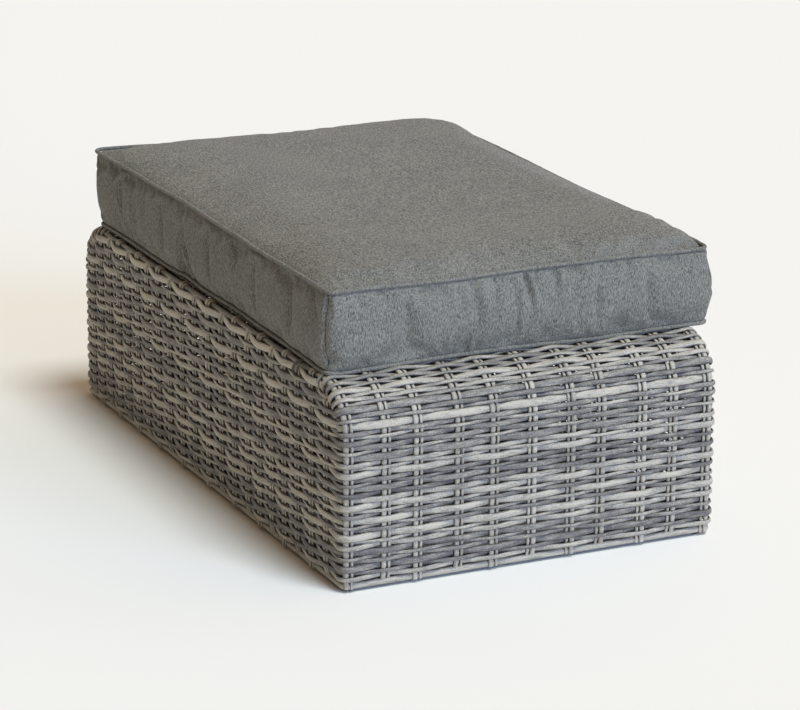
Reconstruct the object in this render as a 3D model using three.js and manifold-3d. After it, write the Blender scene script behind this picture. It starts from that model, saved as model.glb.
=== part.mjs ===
// Outdoor wicker footstool: a woven bench body on a hidden tube frame, with a loose piped box cushion.
// Lengths are millimetres, Z is up, the floor is at zero and the short ends face -Y and +Y.

import * as THREE from 'three';
import { mergeVertices } from 'three/addons/utils/BufferGeometryUtils.js';
import Module from 'manifold-3d';

const wasm = await Module();
wasm.setup();

// Overall sizes of the woven body
const bodyWidth = 600;
const bodyLength = 1020;
const footClearance = 8;
const deckTop = 302;
const endRollRadius = 75;
const cornerRadius = 14;

// Gap left between pieces that are welded, tied, sewn or pushed together on the real one
const seatGap = 0.3;

// Weave: rows of half-round strand that go over one pair of stakes and behind the next
const rowPitch = 8;
const rollRowPitch = 10;
const endStakePitch = 57.4;
const sideStakePitch = 46.3;
const sideFirstStake = 43;
const outlineSegments = 8;
const strandRise = 4;
const stakeRecess = 1;
const grooveDepth = 2.5;
const bendRise = 1.5;
const panelBack = 6;
const bulgeShare = 0.2;
const rimFlat = 6;

// Deck weave, hidden by the cushion: each row stands for a band of strands lying side by side
const deckBandPitch = 120;

// Edge strands along the rims, bound with turns of thin strand at every second stake pair
const wrapRise = 1;
const outerBorderLift = 6.3;
const borderSides = 6;

// Frame of round tube
const tubeRadius = 10;
const tubeWall = 1.5;
const tubeSides = 8;
const elbowSteps = 3;
const bottomRailRise = 12;
const bearerCount = 5;
const endBearerInset = 11;

// Feet: moulded glides pushed into the post ends
const glideSoleRadius = 7;
const glideBevel = 2;
const glideStemHeight = 14;

// Cushion, measured between its seam lines. It is a little wider than the body and lies inside its rolls.
const cushionSideProud = 2.5;
const cushionEndInset = 59;
const cushionThickness = 114;
const cushionCornerRadius = 12;
const cushionShiftX = 15.5;
const cushionShiftY = 10;
const crownHeight = 9;
const sideDraw = 5;
const boxingBulge = 3;
const fabricThickness = 1.2;
const pipingRadius = 3;
const pipingSides = 5;
const foamEdgeInset = 5.4;
const foamEdgeDrop = 3.5;
const widthCells = 5;
const lengthCells = 5;
const drawPower = 6;
const crownPower = 4;

// Zip on the back boxing
const zipShare = 0.56;
const tapeWidth = 16;
const tapeThickness = 0.8;
const beadWidth = 5;
const beadHeight = 2.2;
const sliderLength = 11;
const sliderWall = 1.5;
const bridgeLeg = 1.2;
const bridgeOpening = 4.6;
const bridgeClear = 2.3;
const bridgeWidth = 2.4;
const pullThickness = 1.2;
const pullLength = 22;
const pullBar = 1.2;
const pullReach = 4.6;
const pullRail = 1.3;
const pullSideClear = 0.6;

// One overrun serves every cut and join; one distance welds the vertices of a mesh
const overrun = 1;
const weldDistance = 0.0001;

// Middle surfaces of the walls and the deck, which the strands rise from and dip under
const halfWidth = bodyWidth / 2 - strandRise;
const halfLength = bodyLength / 2 - strandRise;
const deckMiddle = deckTop - strandRise;
const rollSpring = deckMiddle - endRollRadius;
const rollCentreY = halfLength - endRollRadius;
const panelEndY = rollCentreY - rimFlat;

// Tube axes lie behind the panels
const tubeInset = panelBack + seatGap + tubeRadius;
const tubeX = halfWidth - tubeInset;
const tubeY = halfLength - tubeInset;
const railZ = deckMiddle - tubeInset;
const bottomRailZ = footClearance + bottomRailRise;
const elbowRadius = endRollRadius - tubeInset;
const crossHalf = tubeX - tubeRadius - seatGap;

// Border strands fill the thickness of the panel that they finish
const borderRadius = (strandRise + panelBack) / 2;
const outerBorderX = bodyWidth / 2 - borderRadius;
const outerBorderZ = railZ + outerBorderLift;
const innerBorderX = tubeX - tubeRadius + borderRadius;
const innerBorderReach = tubeRadius + borderRadius + seatGap;
const innerBorderZ = railZ + Math.sqrt(innerBorderReach ** 2 - (tubeX - innerBorderX) ** 2);
const borderOffset = strandRise - borderRadius;
const bottomBorderZ = footClearance + borderRadius;
const panelBottom = bottomBorderZ + borderRadius + seatGap;
const sideTop = outerBorderZ - borderRadius - seatGap;
const wrapPitch = sideStakePitch * 2;

// Cushion's plan, the zip along it and the heights of its seams
const cushionWidth = bodyWidth + cushionSideProud * 2;
const cushionLength = bodyLength - cushionEndInset * 2;
const zipLength = cushionWidth * zipShare;
const cushionBase = deckTop + seatGap;
const bottomSeam = cushionBase + pipingRadius;
const topSeam = bottomSeam + cushionThickness;

// Finishes, read from the photograph
const finishes = {
  wicker: { color: 0x9b968d, roughness: 0.7, metalness: 0 },
  binding: { color: 0x8b8378, roughness: 0.7, metalness: 0 },
  tube: { color: 0x3c3c3e, roughness: 0.5, metalness: 0.6 },
  glide: { color: 0x1b1b1c, roughness: 0.45, metalness: 0 },
  fabric: { color: 0x77777a, roughness: 0.95, metalness: 0 },
  foam: { color: 0xd9d4c4, roughness: 1, metalness: 0 },
  zip: { color: 0x505053, roughness: 0.6, metalness: 0 },
  zipMetal: { color: 0x4a4a4c, roughness: 0.4, metalness: 0.8 },
};

function named(name, geometry, finish, x = 0, y = 0, z = 0) {
  const mesh = new THREE.Mesh(geometry, new THREE.MeshStandardMaterial(finishes[finish]));
  mesh.name = name;
  mesh.position.set(x, y, z);
  return mesh;
}

function signedVolume(positions, index) {
  const corner = [new THREE.Vector3(), new THREE.Vector3(), new THREE.Vector3()];
  let sum = 0;
  for (let i = 0; i < index.length; i += 3) {
    corner.forEach((point, k) => point.fromArray(positions, index[i + k] * 3));
    sum += corner[0].dot(corner[1].cross(corner[2]));
  }
  return sum;
}

// Closed mesh from points and triangles, turned so that its faces look outward
function solid(points, triangles) {
  const positions = points.flatMap((point) => point.toArray());
  const index = triangles.flat();
  if (signedVolume(positions, index) < 0) {
    triangles.forEach((triangle) => triangle.reverse());
  }
  const geometry = new THREE.BufferGeometry();
  geometry.setAttribute('position', new THREE.Float32BufferAttribute(positions, 3));
  geometry.setIndex(triangles.flat());
  geometry.computeVertexNormals();
  return geometry;
}

function toManifold(geometry) {
  const bare = geometry.clone();
  bare.deleteAttribute('normal');
  bare.deleteAttribute('uv');
  const welded = mergeVertices(bare, weldDistance);
  return new wasm.Manifold(new wasm.Mesh({
    numProp: 3,
    vertProperties: new Float32Array(welded.attributes.position.array),
    triVerts: new Uint32Array(welded.index.array),
  }));
}

function toGeometry(manifold) {
  const mesh = manifold.getMesh();
  const geometry = new THREE.BufferGeometry();
  geometry.setAttribute('position', new THREE.Float32BufferAttribute(mesh.vertProperties, 3));
  geometry.setIndex(Array.from(mesh.triVerts));
  geometry.computeVertexNormals();
  return geometry;
}

// Evenly spaced values from low to high, both ends included
function spread(low, high, cells) {
  return Array.from({ length: cells + 1 }, (unused, i) => low + ((high - low) * i) / cells);
}

function cellsFor(span, pitch) {
  return Math.max(1, Math.round(span / pitch));
}

// Sheet of plain weave. Columns are {s, stake}: a stake column has its number, a bend or an end has none.
// Row r passes over stake c where r + c is even and behind it where it is odd, and each strand bulges
// where it is in front. place(s, t, n) puts a point s along the sheet, t up it and n outward of its middle.
function wovenSheet(columns, rowEdges, place) {
  const rows = rowEdges.length - 1;
  const lines = rows * 2 + 1;
  const inFront = (row, stake) => (row + stake) % 2 === 0;
  const points = [];

  for (let line = 0; line < lines; line += 1) {
    const row = Math.floor(line / 2);
    const onStrand = line % 2 === 1;
    const atRim = line === 0 || line === lines - 1;
    const pitch = rowEdges[Math.min(row, rows - 1) + 1] - rowEdges[Math.min(row, rows - 1)];
    for (const column of columns) {
      const crossing = column.stake !== undefined;
      let t = onStrand ? (rowEdges[row] + rowEdges[row + 1]) / 2 : rowEdges[row];
      let n = onStrand ? bendRise : -grooveDepth;
      if (atRim) {
        n = 0;
      }
      if (onStrand && crossing) {
        n = inFront(row, column.stake) ? strandRise : -stakeRecess;
      }
      if (!onStrand && crossing && !atRim) {
        t += pitch * bulgeShare * (inFront(row, column.stake) ? -1 : 1);
      }
      points.push(place(column.s, t, n));
    }
  }

  const backColumns = columns.map((column, i) => i).filter((i) => columns[i].back);
  const backStart = points.length;
  for (let line = 0; line < lines; line += 1) {
    const row = Math.floor(line / 2);
    const t = line % 2 === 1 ? (rowEdges[row] + rowEdges[row + 1]) / 2 : rowEdges[row];
    backColumns.forEach((i) => points.push(place(columns[i].s, t, -panelBack)));
  }

  const front = (line, i) => line * columns.length + i;
  const back = (line, k) => backStart + line * backColumns.length + k;
  const triangles = [];
  for (let line = 0; line < lines - 1; line += 1) {
    for (let i = 0; i < columns.length - 1; i += 1) {
      triangles.push([front(line, i), front(line, i + 1), front(line + 1, i + 1)]);
      triangles.push([front(line, i), front(line + 1, i + 1), front(line + 1, i)]);
    }
    for (let k = 0; k < backColumns.length - 1; k += 1) {
      triangles.push([back(line, k + 1), back(line, k), back(line + 1, k)]);
      triangles.push([back(line, k + 1), back(line + 1, k), back(line + 1, k + 1)]);
    }
    const lastColumn = columns.length - 1;
    const lastBack = backColumns.length - 1;
    triangles.push([back(line, 0), front(line, 0), front(line + 1, 0)]);
    triangles.push([back(line, 0), front(line + 1, 0), back(line + 1, 0)]);
    triangles.push([front(line, lastColumn), back(line, lastBack), back(line + 1, lastBack)]);
    triangles.push([front(line, lastColumn), back(line + 1, lastBack), front(line + 1, lastColumn)]);
  }
  for (let k = 0; k < backColumns.length - 1; k += 1) {
    for (const [line, turn] of [[0, 1], [lines - 1, -1]]) {
      const rim = [];
      for (let i = backColumns[k]; i < backColumns[k + 1]; i += 1) {
        rim.push([back(line, k), front(line, i + 1), front(line, i)]);
      }
      rim.push([back(line, k), back(line, k + 1), front(line, backColumns[k + 1])]);
      rim.forEach((triangle) => triangles.push(turn > 0 ? triangle : triangle.reverse()));
    }
  }
  return solid(points, triangles);
}

// Stake columns between two ends, the first and last stakes at those ends
function stakeColumns(low, high, pitch) {
  const places = spread(low, high, cellsFor(high - low, pitch));
  return places.map((s, stake) => ({ s, stake, back: stake === 0 || stake === places.length - 1 }));
}

// Profile of a short end: straight up, over the roll and a little way along the deck
const straightRise = rollSpring - panelBottom;
const rollArc = (endRollRadius * Math.PI) / 2;
function endProfile(t) {
  if (t <= straightRise) {
    return { y: halfLength, z: panelBottom + t, normalY: 1, normalZ: 0 };
  }
  if (t <= straightRise + rollArc) {
    const angle = (t - straightRise) / endRollRadius;
    const normalY = Math.cos(angle);
    const normalZ = Math.sin(angle);
    return {
      y: rollCentreY + endRollRadius * normalY,
      z: rollSpring + endRollRadius * normalZ,
      normalY,
      normalZ,
    };
  }
  return { y: rollCentreY - (t - straightRise - rollArc), z: deckMiddle, normalY: 0, normalZ: 1 };
}

// An end's two upright edges turn through the corner radius towards the long sides
const flatHalf = halfWidth - cornerRadius;
const quarterTurn = (cornerRadius * Math.PI) / 2;
const bendPlaces = [flatHalf + quarterTurn / 2, flatHalf + quarterTurn];

// Point of an end at s across it and round its corners, t up its profile and n outward
function endPoint(s, t, n) {
  const beyond = Math.max(0, Math.abs(s) - flatHalf);
  const angle = beyond / cornerRadius;
  const side = Math.sign(s);
  const across = beyond > 0 ? side * (flatHalf + (cornerRadius + n) * Math.sin(angle)) : s;
  const outward = beyond > 0 ? (cornerRadius + n) * Math.cos(angle) - cornerRadius : n;
  const at = endProfile(t);
  return new THREE.Vector3(across, at.y + at.normalY * outward, at.z + at.normalZ * outward);
}

function endPanel() {
  const bends = bendPlaces.map((s) => ({ s, back: true }));
  const columns = [
    ...bends.map(({ s }) => ({ s: -s, back: true })).reverse(),
    ...stakeColumns(-flatHalf, flatHalf, endStakePitch),
    ...bends,
  ];
  const rollSpan = rollArc + rimFlat;
  const rowEdges = [
    ...spread(0, straightRise, cellsFor(straightRise, rowPitch)),
    ...spread(straightRise, straightRise + rollSpan, cellsFor(rollSpan, rollRowPitch)).slice(1),
  ];
  return wovenSheet(columns, rowEdges, endPoint);
}

// Outline of a long side inside the turned edges of the two end panels, drawn with Y across and Z up
function sideOutline() {
  const inset = cornerRadius + seatGap;
  const radius = endRollRadius - inset;
  const reach = halfLength - inset;
  const shape = new THREE.Shape();
  shape.moveTo(-reach, panelBottom);
  shape.lineTo(reach, panelBottom);
  shape.absarc(rollCentreY, rollSpring, radius, 0, Math.PI / 2);
  shape.absarc(-rollCentreY, rollSpring, radius, Math.PI / 2, Math.PI);
  shape.closePath();
  return shape;
}

// Long side panel facing +X: a flat woven sheet cut to the rolled outline
function sidePanel() {
  const stakeReach = halfLength - sideFirstStake;
  const stakes = stakeColumns(-stakeReach, stakeReach, sideStakePitch);
  const columns = [
    { s: -halfLength, back: true },
    ...stakes.map(({ s, stake }) => ({ s, stake })),
    { s: halfLength, back: true },
  ];
  const topSpan = sideTop - rollSpring;
  const rowEdges = [
    ...spread(0, straightRise, cellsFor(straightRise, rowPitch)),
    ...spread(straightRise, straightRise + topSpan, cellsFor(topSpan, rowPitch)).slice(1),
  ];
  const place = (s, t, n) => new THREE.Vector3(halfWidth + n, s, panelBottom + t);
  const sheet = toManifold(wovenSheet(columns, rowEdges, place));
  const depth = strandRise + panelBack + overrun * 2;
  const options = { depth, bevelEnabled: false, curveSegments: outlineSegments };
  const cutter = new THREE.ExtrudeGeometry(sideOutline(), options);
  cutter.rotateX(Math.PI / 2).rotateZ(Math.PI / 2).translate(halfWidth - panelBack - overrun, 0, 0);
  return toGeometry(sheet.intersect(toManifold(cutter)));
}

function deckSheet() {
  const half = innerBorderX - borderRadius - seatGap;
  const reach = panelEndY - seatGap;
  const place = (s, t, n) => new THREE.Vector3(s, t, deckMiddle + n);
  const columns = stakeColumns(-half, half, endStakePitch);
  return wovenSheet(columns, spread(-reach, reach, cellsFor(reach * 2, deckBandPitch)), place);
}

// Border strand along Y, thicker where it is bound. Phase 1 moves the bindings half a pitch along, and
// each end can have bare stretches of its own beyond the bindings.
function borderStrand(half, phase, beyond = []) {
  const bare = borderRadius - wrapRise;
  const cells = cellsFor(half * 2, wrapPitch) * 2;
  const profile = spread(-half, half, cells).map((y, i) => {
    const bound = i % 2 !== phase && i > 0 && i < cells;
    return new THREE.Vector2(bound ? borderRadius : bare, y);
  });
  for (const y of beyond) {
    profile.unshift(new THREE.Vector2(bare, -y));
    profile.push(new THREE.Vector2(bare, y));
  }
  const end = profile[profile.length - 1].y;
  profile.unshift(new THREE.Vector2(0, -end));
  profile.push(new THREE.Vector2(0, end));
  return new THREE.LatheGeometry(profile, borderSides);
}

// Bottom border of an end, bent round its corners as the panel above it is
function endBorder() {
  const strand = borderStrand(flatHalf, 0, bendPlaces);
  const places = strand.attributes.position;
  const points = Array.from({ length: places.count }, (unused, i) => (
    endPoint(places.getY(i), places.getZ(i) + bottomBorderZ - panelBottom, places.getX(i) + borderOffset)
  ));
  const index = Array.from(strand.index.array);
  const triangles = Array.from({ length: index.length / 3 }, (unused, i) => index.slice(i * 3, i * 3 + 3));
  return solid(points, triangles);
}

// Straight open tube along Y
function tube(length) {
  const half = length / 2;
  const bore = tubeRadius - tubeWall;
  const wall = [
    new THREE.Vector2(bore, -half),
    new THREE.Vector2(tubeRadius, -half),
    new THREE.Vector2(tubeRadius, half),
    new THREE.Vector2(bore, half),
    new THREE.Vector2(bore, -half),
  ];
  return new THREE.LatheGeometry(wall, tubeSides);
}

function tubeAlongX(name, half, y, z) {
  return named(name, tube(half * 2).rotateZ(Math.PI / 2), 'tube', 0, y, z);
}

function tubeAlongY(name, low, high, x, z) {
  return named(name, tube(high - low), 'tube', x, (low + high) / 2, z);
}

function post(name, x, y, top) {
  const geometry = tube(top - footClearance).rotateX(Math.PI / 2);
  return named(name, geometry, 'tube', x, y, (top + footClearance) / 2);
}

class QuarterBend extends THREE.Curve {
  getPoint(u, target = new THREE.Vector3()) {
    const angle = (u * Math.PI) / 2;
    return target.set(0, elbowRadius * Math.cos(angle), elbowRadius * Math.sin(angle));
  }
}

// Bent tube from the top of a post over to a top rail, for the +Y end
function elbow() {
  const ring = new THREE.Shape().absarc(0, 0, tubeRadius, 0, Math.PI * 2);
  ring.holes.push(new THREE.Path().absarc(0, 0, tubeRadius - tubeWall, 0, Math.PI * 2));
  return new THREE.ExtrudeGeometry(ring, {
    extrudePath: new QuarterBend(),
    steps: elbowSteps,
    curveSegments: tubeSides / 2,
  });
}

// Glide under a post: a bevelled sole, a flange under the tube's end and a stem up its bore
function glide() {
  const stemRadius = tubeRadius - tubeWall - seatGap;
  const flangeTop = footClearance - seatGap;
  const profile = [
    new THREE.Vector2(0, 0),
    new THREE.Vector2(glideSoleRadius, 0),
    new THREE.Vector2(tubeRadius, glideBevel),
    new THREE.Vector2(tubeRadius, flangeTop),
    new THREE.Vector2(stemRadius, flangeTop),
    new THREE.Vector2(stemRadius, footClearance + glideStemHeight),
    new THREE.Vector2(0, footClearance + glideStemHeight),
  ];
  return new THREE.LatheGeometry(profile, tubeSides).rotateX(Math.PI / 2);
}

function frame() {
  const group = new THREE.Group();
  for (const [side, x] of [['left', -tubeX], ['right', tubeX]]) {
    for (const [end, turn] of [['front', -1], ['back', 1]]) {
      const y = turn * tubeY;
      group.add(post(`${end}_${side}_post`, x, y, rollSpring - seatGap));
      group.add(named(`${end}_${side}_glide`, glide(), 'glide', x, y));
      const bend = named(`${end}_${side}_elbow`, elbow(), 'tube', x, turn * rollCentreY, rollSpring);
      bend.rotation.z = turn < 0 ? Math.PI : 0;
      group.add(bend);
      const near = tubeRadius + seatGap;
      const far = tubeY - near;
      const span = turn < 0 ? [-far, -near] : [near, far];
      group.add(tubeAlongY(`${side}_${end}_bottom_rail`, ...span, x, bottomRailZ));
    }
    const railEnd = rollCentreY - seatGap;
    group.add(tubeAlongY(`${side}_top_rail`, -railEnd, railEnd, x, railZ));
    group.add(post(`${side}_middle_post`, x, 0, railZ - tubeRadius - seatGap));
    group.add(named(`${side}_middle_glide`, glide(), 'glide', x));
  }
  group.add(tubeAlongX('front_bottom_rail', crossHalf, -tubeY, bottomRailZ));
  group.add(tubeAlongX('back_bottom_rail', crossHalf, tubeY, bottomRailZ));
  group.add(tubeAlongX('bottom_stretcher', crossHalf, 0, bottomRailZ));
  const bearerReach = rollCentreY - endBearerInset;
  spread(-bearerReach, bearerReach, bearerCount - 1).forEach((y, i) => {
    group.add(tubeAlongX(`deck_bearer_${i + 1}`, crossHalf, y, railZ));
  });
  return group;
}

function wicker() {
  const group = new THREE.Group();
  const back = named('back_weave', endPanel(), 'wicker');
  const front = named('front_weave', endPanel(), 'wicker');
  front.rotation.z = Math.PI;
  const right = named('right_weave', sidePanel(), 'wicker');
  const left = named('left_weave', sidePanel(), 'wicker');
  left.rotation.z = Math.PI;
  group.add(front, back, left, right, named('deck_weave', deckSheet(), 'wicker'));

  const topHalf = panelEndY - seatGap;
  const bottomHalf = halfLength - cornerRadius - seatGap;
  for (const [side, turn] of [['left', -1], ['right', 1]]) {
    const outerX = turn * outerBorderX;
    group.add(named(`${side}_outer_border`, borderStrand(topHalf, 0), 'binding', outerX, 0, outerBorderZ));
    const innerX = turn * innerBorderX;
    group.add(named(`${side}_inner_border`, borderStrand(topHalf, 1), 'binding', innerX, 0, innerBorderZ));
    group.add(
      named(`${side}_bottom_border`, borderStrand(bottomHalf, 0), 'binding', outerX, 0, bottomBorderZ),
    );
  }
  const backBorder = named('back_bottom_border', endBorder(), 'binding');
  const frontBorder = named('front_bottom_border', endBorder(), 'binding');
  frontBorder.rotation.z = Math.PI;
  group.add(frontBorder, backBorder);
  return group;
}

// Shares of the cushion's half width or half length at which its surfaces have points. The outermost
// stretch at each end is the corner's.
function cushionShares(half, cells) {
  const inner = 1 - cushionCornerRadius / half;
  return [-1, ...spread(-inner, inner, cells), 1];
}
const widthShares = cushionShares(cushionWidth / 2, widthCells);
const lengthShares = cushionShares(cushionLength / 2, lengthCells);

// Plan of the cushion: a is the share across it and b the share along it. The sides are drawn in between
// the corners, and the inset moves the outline inward.
function cushionPlan(a, b, inset) {
  const ease = Math.abs(a * b) === 1 ? cushionCornerRadius * (1 - Math.SQRT1_2) : 0;
  const reachX = cushionWidth / 2 - inset - sideDraw * (1 - b ** drawPower) - ease;
  const reachY = cushionLength / 2 - inset - sideDraw * (1 - a ** drawPower) - ease;
  return new THREE.Vector2(a * reachX, b * reachY);
}

function crown(a, b) {
  return crownHeight * (1 - a ** crownPower) * (1 - b ** crownPower);
}

// Shares of the outline's points, once round from the front left corner
function outlineShares() {
  return [
    ...widthShares.slice(0, -1).map((a) => [a, -1]),
    ...lengthShares.slice(0, -1).map((b) => [1, b]),
    ...widthShares.slice(1).reverse().map((a) => [a, 1]),
    ...lengthShares.slice(1).reverse().map((b) => [-1, b]),
  ];
}

function at(plan, z) {
  return new THREE.Vector3(plan.x, plan.y, z);
}

// Closed layer over the whole plan: a grid above, a grid below and rings of side points in between.
// Each of the layers is {inset, height(a, b)}, from the bottom one to the top one.
function cushionLayer(layers) {
  const points = [];
  const triangles = [];
  const grid = ({ inset, height }) => {
    const start = points.length;
    for (const b of lengthShares) {
      widthShares.forEach((a) => points.push(at(cushionPlan(a, b, inset), height(a, b))));
    }
    return (i, j) => start + j * widthShares.length + i;
  };
  const lastI = widthShares.length - 1;
  const lastJ = lengthShares.length - 1;
  const lower = grid(layers[0]);
  const upper = grid(layers[layers.length - 1]);
  for (let j = 0; j < lastJ; j += 1) {
    for (let i = 0; i < lastI; i += 1) {
      triangles.push([upper(i, j), upper(i + 1, j), upper(i + 1, j + 1)]);
      triangles.push([upper(i, j), upper(i + 1, j + 1), upper(i, j + 1)]);
      triangles.push([lower(i, j), lower(i + 1, j + 1), lower(i + 1, j)]);
      triangles.push([lower(i, j), lower(i, j + 1), lower(i + 1, j + 1)]);
    }
  }
  const edge = outlineShares();
  const edgeOf = (corner) => edge.map(([a, b]) => corner(widthShares.indexOf(a), lengthShares.indexOf(b)));
  const rings = [edgeOf(lower)];
  layers.slice(1, -1).forEach(({ inset, height }) => {
    rings.push(edge.map(([a, b]) => points.push(at(cushionPlan(a, b, inset), height(a, b))) - 1));
  });
  rings.push(edgeOf(upper));
  for (let level = 0; level < rings.length - 1; level += 1) {
    edge.forEach((unused, k) => {
      const next = (k + 1) % edge.length;
      triangles.push([rings[level][k], rings[level][next], rings[level + 1][next]]);
      triangles.push([rings[level][k], rings[level + 1][next], rings[level + 1][k]]);
    });
  }
  return solid(points, triangles);
}

function foamCore() {
  const skin = fabricThickness + seatGap;
  const bottom = cushionBase + skin;
  const middle = (bottomSeam + topSeam) / 2;
  const topAtEdge = topSeam - fabricThickness / 2 - seatGap;
  return cushionLayer([
    { inset: foamEdgeInset, height: () => bottom },
    { inset: skin, height: () => bottomSeam + foamEdgeDrop },
    { inset: skin - boxingBulge, height: () => middle },
    { inset: skin, height: () => topSeam - foamEdgeDrop },
    { inset: foamEdgeInset, height: (a, b) => topAtEdge + crown(a, b) },
  ]);
}

function topPanel() {
  const inset = pipingRadius + seatGap;
  const low = topSeam - fabricThickness / 2;
  return cushionLayer([
    { inset, height: (a, b) => low + crown(a, b) },
    { inset, height: (a, b) => low + fabricThickness + crown(a, b) },
  ]);
}

function bottomPanel() {
  const inset = pipingRadius + seatGap;
  return cushionLayer([
    { inset, height: () => cushionBase },
    { inset, height: () => cushionBase + fabricThickness },
  ]);
}

// Plan line through the given shares, its two ends drawn back by the seam gap
function boxingLine(shares, inset) {
  const line = shares.map(([a, b]) => cushionPlan(a, b, inset));
  const drawBack = (end, next) => end.clone().lerp(next, seatGap / end.distanceTo(next));
  const last = line.length - 1;
  const ends = [drawBack(line[0], line[1]), drawBack(line[last], line[last - 1])];
  return [ends[0], ...line.slice(1, last), ends[1]];
}

// One strip of boxing between the two pipings, bulging a little at half height
function boxingStrip(shares) {
  const low = bottomSeam + pipingRadius + seatGap;
  const high = topSeam - pipingRadius - seatGap;
  const levels = [
    { inset: 0, z: low },
    { inset: -boxingBulge, z: (low + high) / 2 },
    { inset: 0, z: high },
  ];
  const outer = levels.map(({ inset, z }) => boxingLine(shares, inset).map((plan) => at(plan, z)));
  const inner = levels.map(({ inset, z }) => (
    boxingLine(shares, inset + fabricThickness).map((plan) => at(plan, z))
  ));
  const loop = [...outer, ...inner.reverse()];
  const points = loop.flat();
  const count = shares.length;
  const index = (level, k) => (level % loop.length) * count + k;
  const triangles = [];
  loop.forEach((unused, level) => {
    for (let k = 0; k < count - 1; k += 1) {
      triangles.push([index(level, k), index(level, k + 1), index(level + 1, k + 1)]);
      triangles.push([index(level, k), index(level + 1, k + 1), index(level + 1, k)]);
    }
  });
  const half = levels.length - 1;
  for (let level = 0; level < half; level += 1) {
    const mate = loop.length - 1 - level;
    for (const [k, turn] of [[0, 1], [count - 1, -1]]) {
      const cap = [
        [index(level, k), index(level + 1, k), index(mate - 1, k)],
        [index(level, k), index(mate - 1, k), index(mate, k)],
      ];
      cap.forEach((triangle) => triangles.push(turn > 0 ? triangle : triangle.reverse()));
    }
  }
  return solid(points, triangles);
}

// Piping cord: a tube once round the seam line, its sections mitred at each point
function pipingLoop(z) {
  const line = outlineShares().map(([a, b]) => cushionPlan(a, b, 0));
  const count = line.length;
  const points = [];
  line.forEach((here, k) => {
    const before = here.clone().sub(line[(k + count - 1) % count]).normalize();
    const after = line[(k + 1) % count].clone().sub(here).normalize();
    const along = before.clone().add(after).normalize();
    const stretch = 1 / along.dot(after);
    for (let side = 0; side < pipingSides; side += 1) {
      const angle = (side * Math.PI * 2) / pipingSides;
      const out = pipingRadius * Math.cos(angle) * stretch;
      const up = pipingRadius * Math.sin(angle);
      points.push(new THREE.Vector3(here.x + along.y * out, here.y - along.x * out, z + up));
    }
  });
  const triangles = [];
  for (let k = 0; k < count; k += 1) {
    const next = (k + 1) % count;
    for (let side = 0; side < pipingSides; side += 1) {
      const turn = (side + 1) % pipingSides;
      const quad = [k * pipingSides + side, next * pipingSides + side];
      const over = [k * pipingSides + turn, next * pipingSides + turn];
      triangles.push([quad[0], quad[1], over[1]], [quad[0], over[1], over[0]]);
    }
  }
  return solid(points, triangles);
}

// The outside of the back boxing at half height, as far out as it comes under the zip
function zipSeatY() {
  const line = widthShares.map((a) => cushionPlan(a, 1, -boxingBulge));
  const next = line.findIndex((point) => point.x >= zipLength / 2);
  return Math.max(line[next].y, line[next - 1].y) + seatGap;
}

const zipZ = (bottomSeam + topSeam) / 2;
const beadTop = tapeThickness + beadHeight;

// Zip tape with the closed bead of teeth standing on it, drawn with Z across and Y outward
function zipChain() {
  const shape = new THREE.Shape();
  shape.moveTo(-tapeWidth / 2, 0);
  shape.lineTo(tapeWidth / 2, 0);
  shape.lineTo(tapeWidth / 2, tapeThickness);
  shape.lineTo(beadWidth / 2, tapeThickness);
  shape.lineTo(beadWidth / 2, beadTop);
  shape.lineTo(-beadWidth / 2, beadTop);
  shape.lineTo(-beadWidth / 2, tapeThickness);
  shape.lineTo(-tapeWidth / 2, tapeThickness);
  shape.closePath();
  return acrossZip(shape, zipLength);
}

// Turns a shape drawn with the zip's width across and outward up into a bar along X
function acrossZip(shape, length) {
  const bar = new THREE.ExtrudeGeometry(shape, { depth: length, bevelEnabled: false });
  return bar.translate(0, 0, -length / 2).rotateY(-Math.PI / 2);
}

const sliderFloor = tapeThickness + seatGap;
const sliderRoof = beadTop + seatGap + sliderWall;
const pullAxisY = sliderRoof + bridgeClear / 2;

// Slider: a channel that straddles the bead, with a bridge over it that holds the pull
function zipSlider() {
  const slot = beadWidth / 2 + seatGap;
  const wide = slot + sliderWall;
  const shape = new THREE.Shape();
  shape.moveTo(-wide, sliderFloor);
  shape.lineTo(-slot, sliderFloor);
  shape.lineTo(-slot, beadTop + seatGap);
  shape.lineTo(slot, beadTop + seatGap);
  shape.lineTo(slot, sliderFloor);
  shape.lineTo(wide, sliderFloor);
  shape.lineTo(wide, sliderRoof);
  shape.lineTo(-wide, sliderRoof);
  shape.closePath();

  const half = bridgeOpening / 2 + bridgeLeg;
  const top = sliderRoof + bridgeClear + bridgeLeg;
  const low = sliderRoof - sliderWall / 2;
  const arch = new THREE.Shape();
  arch.moveTo(-half, low);
  arch.lineTo(-bridgeOpening / 2, low);
  arch.lineTo(-bridgeOpening / 2, sliderRoof + bridgeClear);
  arch.lineTo(bridgeOpening / 2, sliderRoof + bridgeClear);
  arch.lineTo(bridgeOpening / 2, low);
  arch.lineTo(half, low);
  arch.lineTo(half, top);
  arch.lineTo(-half, top);
  arch.closePath();
  const bridge = new THREE.ExtrudeGeometry(arch, { depth: bridgeWidth, bevelEnabled: false });
  bridge.translate(0, 0, -bridgeWidth / 2);
  return toGeometry(toManifold(acrossZip(shape, sliderLength)).add(toManifold(bridge)));
}

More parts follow.
